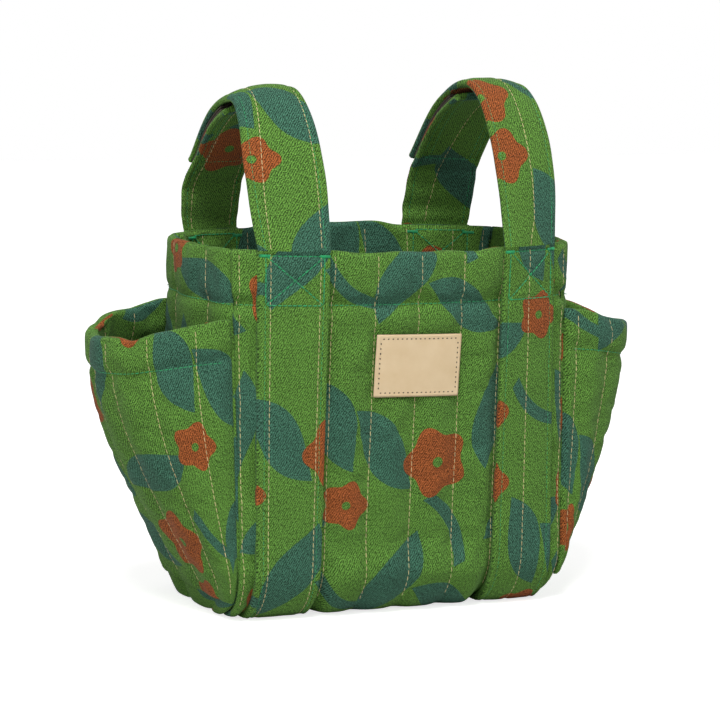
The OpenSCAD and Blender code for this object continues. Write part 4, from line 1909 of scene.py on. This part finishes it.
@dataclass
class Strap:
    """One carrying strap with its bands, its tab and the hook-and-loop closure."""

    side: Side
    wardrobe: Wardrobe
    maker: StitchMaker
    shape: StrapShape
    seams: tuple[Seam, ...]
    tab_seams: tuple[Seam, ...]
    drape: Drape
    part_y: float = -18.0

    @property
    def word(self) -> str:
        """Left or right."""
        return self.side.word

    def dress_strap(self, piece: Object, node: str) -> None:
        """Dresses a strap piece in the printed twill and hides its node."""
        self.wardrobe.dress(piece, self.wardrobe.twill, "strap_cotton")
        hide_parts(node)
        select_only(piece)
        bpy.ops.object.shade_smooth_by_angle(angle=math.radians(50))
        LOG.info("%s: %d faces", piece.name, len(piece.data.polygons))

    def build(self) -> None:
        """Builds every piece of the strap."""
        shape, word = self.shape, self.word
        seed = 5.0 + 3.0 * self.side.value
        course = shape.whole()
        split = int(np.argmax(course.points[:, 0] > self.part_y))
        strap = Ribbon(self.side, course, shape, shape.thick, self.seams, seed, self.drape)
        rows = len(course.points) - 1
        riser = strap.build(f"padded_{word}_strap", 0, split)
        flap = strap.build(f"padded_{word}_strap_end", split, rows)
        self.dress_strap(riser, f"{word}_strap")
        self.dress_strap(flap, f"{word}_strap_end")
        tab_course = shape.tab_course()
        tab = Ribbon(
            self.side, tab_course, shape, shape.tab, self.tab_seams, seed + 1, self.drape, tape_end=60.0
        )
        tongue = tab.build(f"padded_{word}_tab")
        self.dress_strap(tongue, f"{word}_tab")
        self.sew(strap, riser, 0, split, f"{word}_strap")
        self.sew(strap, flap, split, rows, f"{word}_strap_end")
        self.sew(tab, tongue, 0, len(tab_course.points) - 1, f"{word}_tab")
        self.tapes()
        for face in Face:
            self.build_band(face, seed + 2)

    def bend(self, piece: Object, which: str) -> None:
        """Bakes a piece's placement into its mesh; the ends of a bend are worked out but not used.

        Args:
            piece: The piece.
            which: The body whose name picks the ends of the bend.
        """
        shape, side = self.shape, self.side
        x = side.value * (shape.inner + shape.width / 2) * MM
        rim = shape.body.height * MM
        root = (shape.root(shape.inner) + shape.root(shape.outer)) / 2 * MM
        if which.endswith("_strap"):
            start, end = (x, -root, rim + 0.001), (x, -root + 0.003, rim + 0.016)
            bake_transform(piece)
            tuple(start)
            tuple(end)
        elif which.endswith("_strap_end"):
            top = rim + shape.arch * MM
            start, end = (x, -0.0155, top), (x, -0.0025, top)
            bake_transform(piece)
            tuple(start)
            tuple(end)
        else:
            start, end = (x, root, rim + 0.001), (x, root - 0.001, rim + 0.014)
            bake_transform(piece)
            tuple(start)
            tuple(end)

    def sew(self, ribbon: Ribbon, piece: Object, low: int, high: int, body: str) -> None:
        """Sews topstitching and quilting on a stretch of strap.

        Args:
            ribbon: The strap's own shape.
            piece: The piece that is sewn.
            low: First row of the stretch.
            high: Last row.
            body: Name of the strap's body, used in the threads' names.
        """
        width, inset = self.shape.width, self.shape.stitch_in
        ground = surface_of(piece)
        green, cream = [], []
        for under in (False, True):
            for w in (inset, width - inset):
                green.append(StitchRun(EDGE_STITCH, *ribbon.line(w, low, high, under)))
            for seam in ribbon.seams:
                cream.append(StitchRun(QUILT_STITCH, *ribbon.line(seam, low, high, under)))
        if ribbon.tape_end:
            last = int(np.searchsorted(ribbon.course.run, ribbon.tape_end))
            for w in (2 * inset, width - 2 * inset):
                green.append(StitchRun(EDGE_STITCH, *ribbon.line(w, 1, last, True)))
            w = np.linspace(inset, width - inset, 16)
            green.append(StitchRun(EDGE_STITCH, *ribbon.laid(w, np.full(w.shape, last), True)))
        for runs, colour, word in (
            (green, self.wardrobe.green, "topstitch"),
            (cream, self.wardrobe.cream, "quilting_thread"),
        ):
            thread = self.maker.sew(f"{word}_{body}", runs, ground)
            self.wardrobe.dress(thread, colour, "green_thread")
            self.bend(thread, body)
        self.bend(piece, body)

    def tapes(self) -> None:
        """The hook tape under the strap's end and the loop tape on the tab."""
        shape = self.shape
        for kind, low, high, body in (
            ("hook", shape.thick + shape.lay, 0.97, f"{self.word}_strap_end"),
            ("loop", shape.tab_depth - shape.lay - shape.tape, 0.93, f"{self.word}_tab"),
        ):
            t = np.linspace(0.3, high, 40)
            course = Trace(shape.fall.at(t), shape.fall.outward(t)).shifted(-low).evenly(2.0)
            ribbon = Ribbon(self.side, course, shape, shape.tape, drape=self.drape, plain=True)
            ribbon.margin = shape.tape_margin
            piece = ribbon.build(f"{kind}_tape_{self.word}")
            finish = self.wardrobe.hook if kind == "hook" else self.wardrobe.loop
            self.wardrobe.dress(piece, finish, f"{kind}_tape")
            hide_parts(f"{self.word}_{kind}_tape")
            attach(piece, body)

    def build_band(self, face: Face, seed: float) -> None:
        """Builds a band with its stitches."""
        band = Band(self.side, face, self.shape, self.seams, seed + face.value)
        piece = band.build(f"padded_{face.word}_{self.word}_band")
        self.dress_strap(piece, f"{face.word}_{self.word}_band")
        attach(piece, "bag")
        self.sew_band(band, piece)

    def sew_band(self, band: Band, piece: Object) -> None:
        """Sews the band's topstitching, quilting, crossed box and bar tacks.

        Args:
            band: The band's own shape.
            piece: The piece that is sewn.
        """
        shape, body = self.shape, self.shape.body
        width, inset = shape.width, shape.stitch_in
        ground = surface_of(piece)
        face, sign = band.face, float(band.face.value)
        t = np.arange(1.0, body.wall_length - 2, 1.5)
        _, e = body.row(t)
        out = np.stack([e * 0, sign * np.cos(e), -np.sin(e)], -1)

        def line(a: tuple[float, float], b: tuple[float, float]) -> tuple[Grid, Grid]:
            """A straight line on the band, and the direction off it."""
            k = np.linspace(0, 1, 16)
            path = band.surface(mix(a[0], b[0], k), mix(a[1], b[1], k), k * 0)
            return path, np.tile([0.0, sign, 0.0], (16, 1))

        down = [
            StitchRun(EDGE_STITCH, band.surface(np.full(t.shape, w), t, t * 0), out)
            for w in (inset, width - inset)
        ]
        cream = [
            StitchRun(QUILT_STITCH, band.surface(np.full(t.shape, seam.at(0.0)), t, t * 0), out)
            for seam in band.seams
        ]
        left, right, top, low = inset, width - inset, band.fold, body.hem - 0.5
        corners = (
            ((left, top), (right, top)),
            ((left, low), (right, low)),
            ((left, top), (right, low)),
            ((right, top), (left, low)),
            ((left, top), (left, low)),
            ((right, top), (right, low)),
        )
        box = [StitchRun(BOX_STITCH, *line(a, b)) for a, b in corners]
        tacks = [StitchRun(TACK_STITCH, *line(a, b)) for a, b in self.tack_lines(top)]
        name = f"{face.word}_{self.word}"
        threads = (
            (f"topstitch_{name}_band", down + box + tacks, self.wardrobe.green),
            (f"quilting_thread_{name}_band", cream, self.wardrobe.cream),
        )
        for label, runs, colour in threads:
            thread = self.maker.sew(label, runs, ground)
            self.wardrobe.dress(thread, colour, "green_thread")
            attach(thread, "bag")
        self.sew_inside(band, corners)

    def tack_lines(self, top: float) -> list[tuple[tuple[float, float], tuple[float, float]]]:
        """Ends of the close upright stitches of both bar tacks, across and down the band."""
        width, count, pitch = self.shape.width, 12, 0.48
        starts = (0.5, width - 0.5 - (count - 1) * pitch)
        places = [start + k * pitch for start in starts for k in range(count)]
        return [((w, top - 1.3), (w, top + 1.3)) for w in places]

    def sew_inside(self, band: Band, corners: Sequence) -> None:
        """Sews the crossed box as it shows on the inside of the wall.

        Args:
            band: The band's own shape.
            corners: Ends of the box's lines, across and down the band.
        """
        wall = bpy.data.objects[f"quilted_{band.face.word}"]
        ground = surface_of(wall)
        runs = []
        body, sign = self.shape.body, -float(band.face.value)
        tacks = self.tack_lines(band.fold + 1.2)
        for (a, b), kind in [(c, BOX_STITCH) for c in corners] + [(c, TACK_STITCH) for c in tacks]:
            k = np.linspace(0, 1, 16)
            u = self.side.value * (self.shape.inner + mix(a[0], b[0], k))
            path = body.wall(u, mix(a[1], b[1], k), k * 0 - body.hem_cloth, band.face)
            runs.append(StitchRun(kind, path, np.tile([0.0, sign, 0.0], (16, 1))))
        thread = self.maker.sew(f"inner_box_{band.face.word}_{self.word}", runs, ground)
        self.wardrobe.dress(thread, self.wardrobe.green, "green_thread")
        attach(thread, "bag")


@dataclass
class Label:
    """The bare leather label, sewn on round its edge."""

    wardrobe: Wardrobe
    maker: StitchMaker
    body: BodyShape
    width: float = 52.0
    height: float = 35.0
    thick: float = 1.6
    x: float = 0.5
    z: float = 141.0
    corner: float = 1.0
    inset: float = 2.5
    tilt: float = -1.2

    def placed(self, across: Grid, up: Grid) -> tuple[Grid, Grid]:
        """Place across and height on the bag of points measured from the label's middle."""
        angle = math.radians(self.tilt)
        x = self.x + across * math.cos(angle) - up * math.sin(angle)
        return x, self.z + across * math.sin(angle) + up * math.cos(angle)

    def build(self) -> None:
        """Models the plate with rounded corners and a slight bulge, and its stitches."""
        bpy.ops.object.select_all(action="DESELECT")
        bpy.ops.mesh.primitive_cube_add(size=1.0)
        plate = bpy.context.active_object
        plate.name = "leather_label_plate"
        size = (self.width * MM, self.thick * MM, self.height * MM)
        bpy.ops.transform.resize(value=size)
        bpy.ops.object.transform_apply(location=False, rotation=False, scale=True)
        self.bevel(plate, self.corner, 3, lambda edge: self.depthwise(plate, edge))
        self.bevel(plate, 0.45, 2, lambda edge: True)
        bpy.ops.object.mode_set(mode="EDIT")
        upright, level = (1.0, 0.0, 0.0), (0.0, 0.0, 1.0)
        cuts = [(k * self.width / 24, upright) for k in range(-11, 12)]
        cuts += [(k * self.height / 14, level) for k in range(-6, 7)]
        for place, axis in cuts:
            bpy.ops.mesh.select_all(action="SELECT")
            bpy.ops.mesh.bisect(plane_co=Vector(axis) * place * MM, plane_no=axis)
        bpy.ops.object.mode_set(mode="OBJECT")
        points = mesh_points(plate)
        x, z = self.placed(points[:, 0], points[:, 2])
        out = points[:, 1]
        near_edge = np.minimum(
            self.width / 2 - np.abs(points[:, 0]), self.height / 2 - np.abs(points[:, 2])
        )
        front = smooth(-out / self.thick + 0.5)
        sink = 0.3 * bump_at(near_edge, self.inset, 0.8) + 0.25 * (1 - smooth(near_edge / 1.0))
        lift = 0.3 * ripple(x / 22, z / 18, 3.3) + 0.3
        y = out + front * sink - (self.body.depth(x, z) + lift + self.thick / 2)
        move_points(plate, np.stack([x, y, z], -1))
        bpy.ops.object.shade_smooth_by_angle(angle=math.radians(40))
        self.wardrobe.dress(plate, self.wardrobe.leather, "label_leather")
        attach(plate, "bag")
        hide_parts("leather_label")
        self.sew(plate)

    def bevel(self, plate: Object, width: float, segments: int, wanted: Callable) -> None:
        """Bevels the edges of the plate that are wanted."""
        for edge in plate.data.edges:
            edge.select = bool(wanted(edge))
        bpy.ops.object.mode_set(mode="EDIT")
        bpy.ops.mesh.select_mode(type="EDGE")
        bpy.ops.mesh.bevel(offset=width * MM, segments=segments, affect="EDGES")
        bpy.ops.object.mode_set(mode="OBJECT")

    def depthwise(self, plate: Object, edge: MeshEdge) -> bool:
        """Whether an edge runs through the plate's thickness."""
        a, b = (plate.data.vertices[i].co for i in edge.vertices)
        return abs(a.x - b.x) < 1e-7 and abs(a.z - b.z) < 1e-7

    def sew(self, plate: Object) -> None:
        """The waxed stitches round the label."""
        ground = surface_of(plate)
        half_w, half_h = self.width / 2 - self.inset, self.height / 2 - self.inset
        corners = ((-half_w, -half_h), (half_w, -half_h), (half_w, half_h), (-half_w, half_h))
        runs = []
        for a, b in zip(corners, corners[1:] + corners[:1]):
            k = np.linspace(0, 1, 24)
            x, z = self.placed(mix(a[0], b[0], k), mix(a[1], b[1], k))
            path = np.stack([x, -(self.body.depth(x, z) + self.thick), z], -1)
            runs.append(StitchRun(LABEL_STITCH, path, np.tile([0.0, -1.0, 0.0], (24, 1))))
        thread = self.maker.sew("label_thread", runs, ground)
        self.wardrobe.dress(thread, self.wardrobe.brown, "brown_thread")
        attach(thread, "bag")
        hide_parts("label_stitching")


@dataclass(frozen=True)
class Studio:
    """Camera, floor, lamps and world.

    Attributes:
        azimuth: Angle of view round the bag, in degrees.
        elevation: Angle of view above the level.
        roll: Turn of the camera about its view.
        distance: From the middle of the body to the camera, in metres.
        focal: Focal length in pixels of a frame 720 wide.
        frame: Width and height of the frame in pixels.
        centre: Place of the body's middle in the frame, from the top left.
        target: The body's middle, in metres.
        white: Colour of the glow behind the bag.
        paper: Colour of the floor.
        floor_glow: What the floor adds to itself for the eye alone.
        daylight: Strength of the even light from all round.
    """

    azimuth: float = -25.0
    elevation: float = 9.1
    roll: float = 1.43
    distance: float = 1.767
    focal: float = 3091.0
    frame: float = 720.0
    centre: tuple[float, float] = (363.4, 415.4)
    target: tuple[float, float, float] = (0.0, 0.0, 0.1025)
    white: str = "#FFFFFF"
    paper: str = "#DCDCDA"
    floor_glow: float = 0.74
    daylight: float = 0.26

    def camera(self) -> None:
        """Places the camera."""
        a, e, r = (math.radians(v) for v in (-self.azimuth, self.elevation, self.roll))
        back = Vector((-math.sin(a) * math.cos(e), -math.cos(a) * math.cos(e), math.sin(e)))
        right = Vector((math.cos(a), -math.sin(a), 0.0))
        up = back.cross(right)
        tilted_right = math.cos(r) * right + math.sin(r) * up
        tilted_up = -math.sin(r) * right + math.cos(r) * up
        place = Vector(self.target) + self.distance * back
        half = self.frame / 2
        dx, dy = half - self.centre[0], half - self.centre[1]
        aim = (-back * self.focal + tilted_right * dx - tilted_up * dy).normalized()
        side = tilted_right - aim * tilted_right.dot(aim)
        side.normalize()
        over = side.cross(aim)
        turn = Matrix((side, over, -aim)).transposed().to_4x4()
        data = bpy.data.cameras.new("camera")
        data.sensor_width = 36.0
        data.lens = self.focal / self.frame * data.sensor_width
        camera = bpy.data.objects.new("camera", data)
        camera.matrix_world = Matrix.Translation(place) @ turn
        bpy.context.scene.collection.objects.link(camera)
        bpy.context.scene.camera = camera

    def lamp(self, name: str, place: tuple, power: float, size: float) -> None:
        """Adds a soft square lamp aimed at the bag."""
        data = bpy.data.lights.new(name, "AREA")
        data.energy, data.size = power, size
        lamp = bpy.data.objects.new(name, data)
        lamp.location = place
        lamp.rotation_euler = (Vector(self.target) - Vector(place)).to_track_quat("-Z", "Y").to_euler()
        bpy.context.scene.collection.objects.link(lamp)

    def seen_white(self, tree: NodeTree) -> NodeSocket:
        """A socket that is 1 for rays that should meet plain white."""
        rays = add_node(tree, "LightPath")
        seen = rays.outputs["Is Camera Ray"]
        for kind in ("Is Glossy Ray", "Is Transmission Ray"):
            seen = add_node(tree, "Math", (seen, rays.outputs[kind]), operation="MAXIMUM").outputs[0]
        return seen

    def floor(self) -> None:
        """Adds the pale floor, which keeps the bag's shadow."""
        bpy.ops.object.select_all(action="DESELECT")
        bpy.ops.mesh.primitive_plane_add(size=6.0, location=(0.0, 0.0, -0.0005))
        floor = bpy.context.active_object
        floor.name = "floor"
        material, tree, shader = start_material("white_paper")
        shader.inputs["Base Color"].default_value = linear(self.paper)
        shader.inputs["Roughness"].default_value = 0.9
        seen = add_node(tree, "LightPath").outputs["Is Camera Ray"]
        strength = add_node(tree, "Math", (seen, self.floor_glow), operation="MULTIPLY")
        glow = add_node(tree, "Emission", {"Color": linear(self.white), "Strength": strength})
        both = add_node(tree, "AddShader", (shader, glow))
        output = next(n for n in tree.nodes if n.type == "OUTPUT_MATERIAL")
        tree.links.new(both.outputs[0], output.inputs["Surface"])
        floor.data.materials.append(material)

    def world(self) -> None:
        """Sets a plain world: white to the eye, a dim even light on the bag."""
        world = bpy.data.worlds.new("studio")
        world.use_nodes = True
        tree = world.node_tree
        tree.nodes.clear()
        values = (self.seen_white(tree), 1 - self.daylight, self.daylight)
        strength = add_node(tree, "Math", values, operation="MULTIPLY_ADD")
        glow = add_node(tree, "Background", {"Color": linear(self.white), "Strength": strength})
        add_node(tree, "OutputWorld", {"Surface": glow})
        bpy.context.scene.world = world

    def build(self) -> None:
        """Builds the stage after the camera."""
        self.floor()
        self.world()
        self.lamp("key_lamp", (-0.65, -1.25, 2.35), 50.0, 0.8)
        self.lamp("left_lamp", (-1.6, -1.0, 1.0), 7.0, 1.2)
        self.lamp("right_lamp", (1.4, -1.6, 1.3), 5.5, 1.4)


def main() -> None:
    """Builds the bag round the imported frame."""
    logging.basicConfig(level=logging.INFO, format="%(name)s: %(message)s")
    studio = Studio()
    studio.camera()
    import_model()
    bpy.context.scene.view_settings.view_transform = "Standard"
    wardrobe, maker = Wardrobe(), StitchMaker()
    body = Body(wardrobe, maker)
    body.build()
    straps = StrapShape()
    left_drape = Drape((-2.0, -1.0, -7.0), 50.0, (3.4, -2.0), 3.4, 1.0)
    right_drape = Drape((1.8, 3.0, -0.6), 62.0, (0.0, 6.0), 1.2, 2.5)
    left_seams = (Seam(5.4, -0.018), Seam(31.4, -0.045))
    left_tab = (Seam(3.6, 0.018), Seam(26.9, 0.045))
    Strap(Side.LEFT, wardrobe, maker, straps, left_seams, left_tab, left_drape).build()
    right_seams, right_tab = (Seam(17.8, 0.0, 3.8),), (Seam(21.0, -0.08),)
    Strap(Side.RIGHT, wardrobe, maker, straps, right_seams, right_tab, right_drape).build()
    Label(wardrobe, maker, body.shape).build()
    hidden = {
        "rim_stitching": "hem_thread_front",
        "pocket_stitching": "hem_thread_left_pocket",
        "strap_box_stitching": "topstitch_front_left_band",
        "bar_tacks": "topstitch_front_right_band",
    }
    for node, piece in hidden.items():
        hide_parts(node)
    studio.build()


if __name__ == "__main__":
    main()
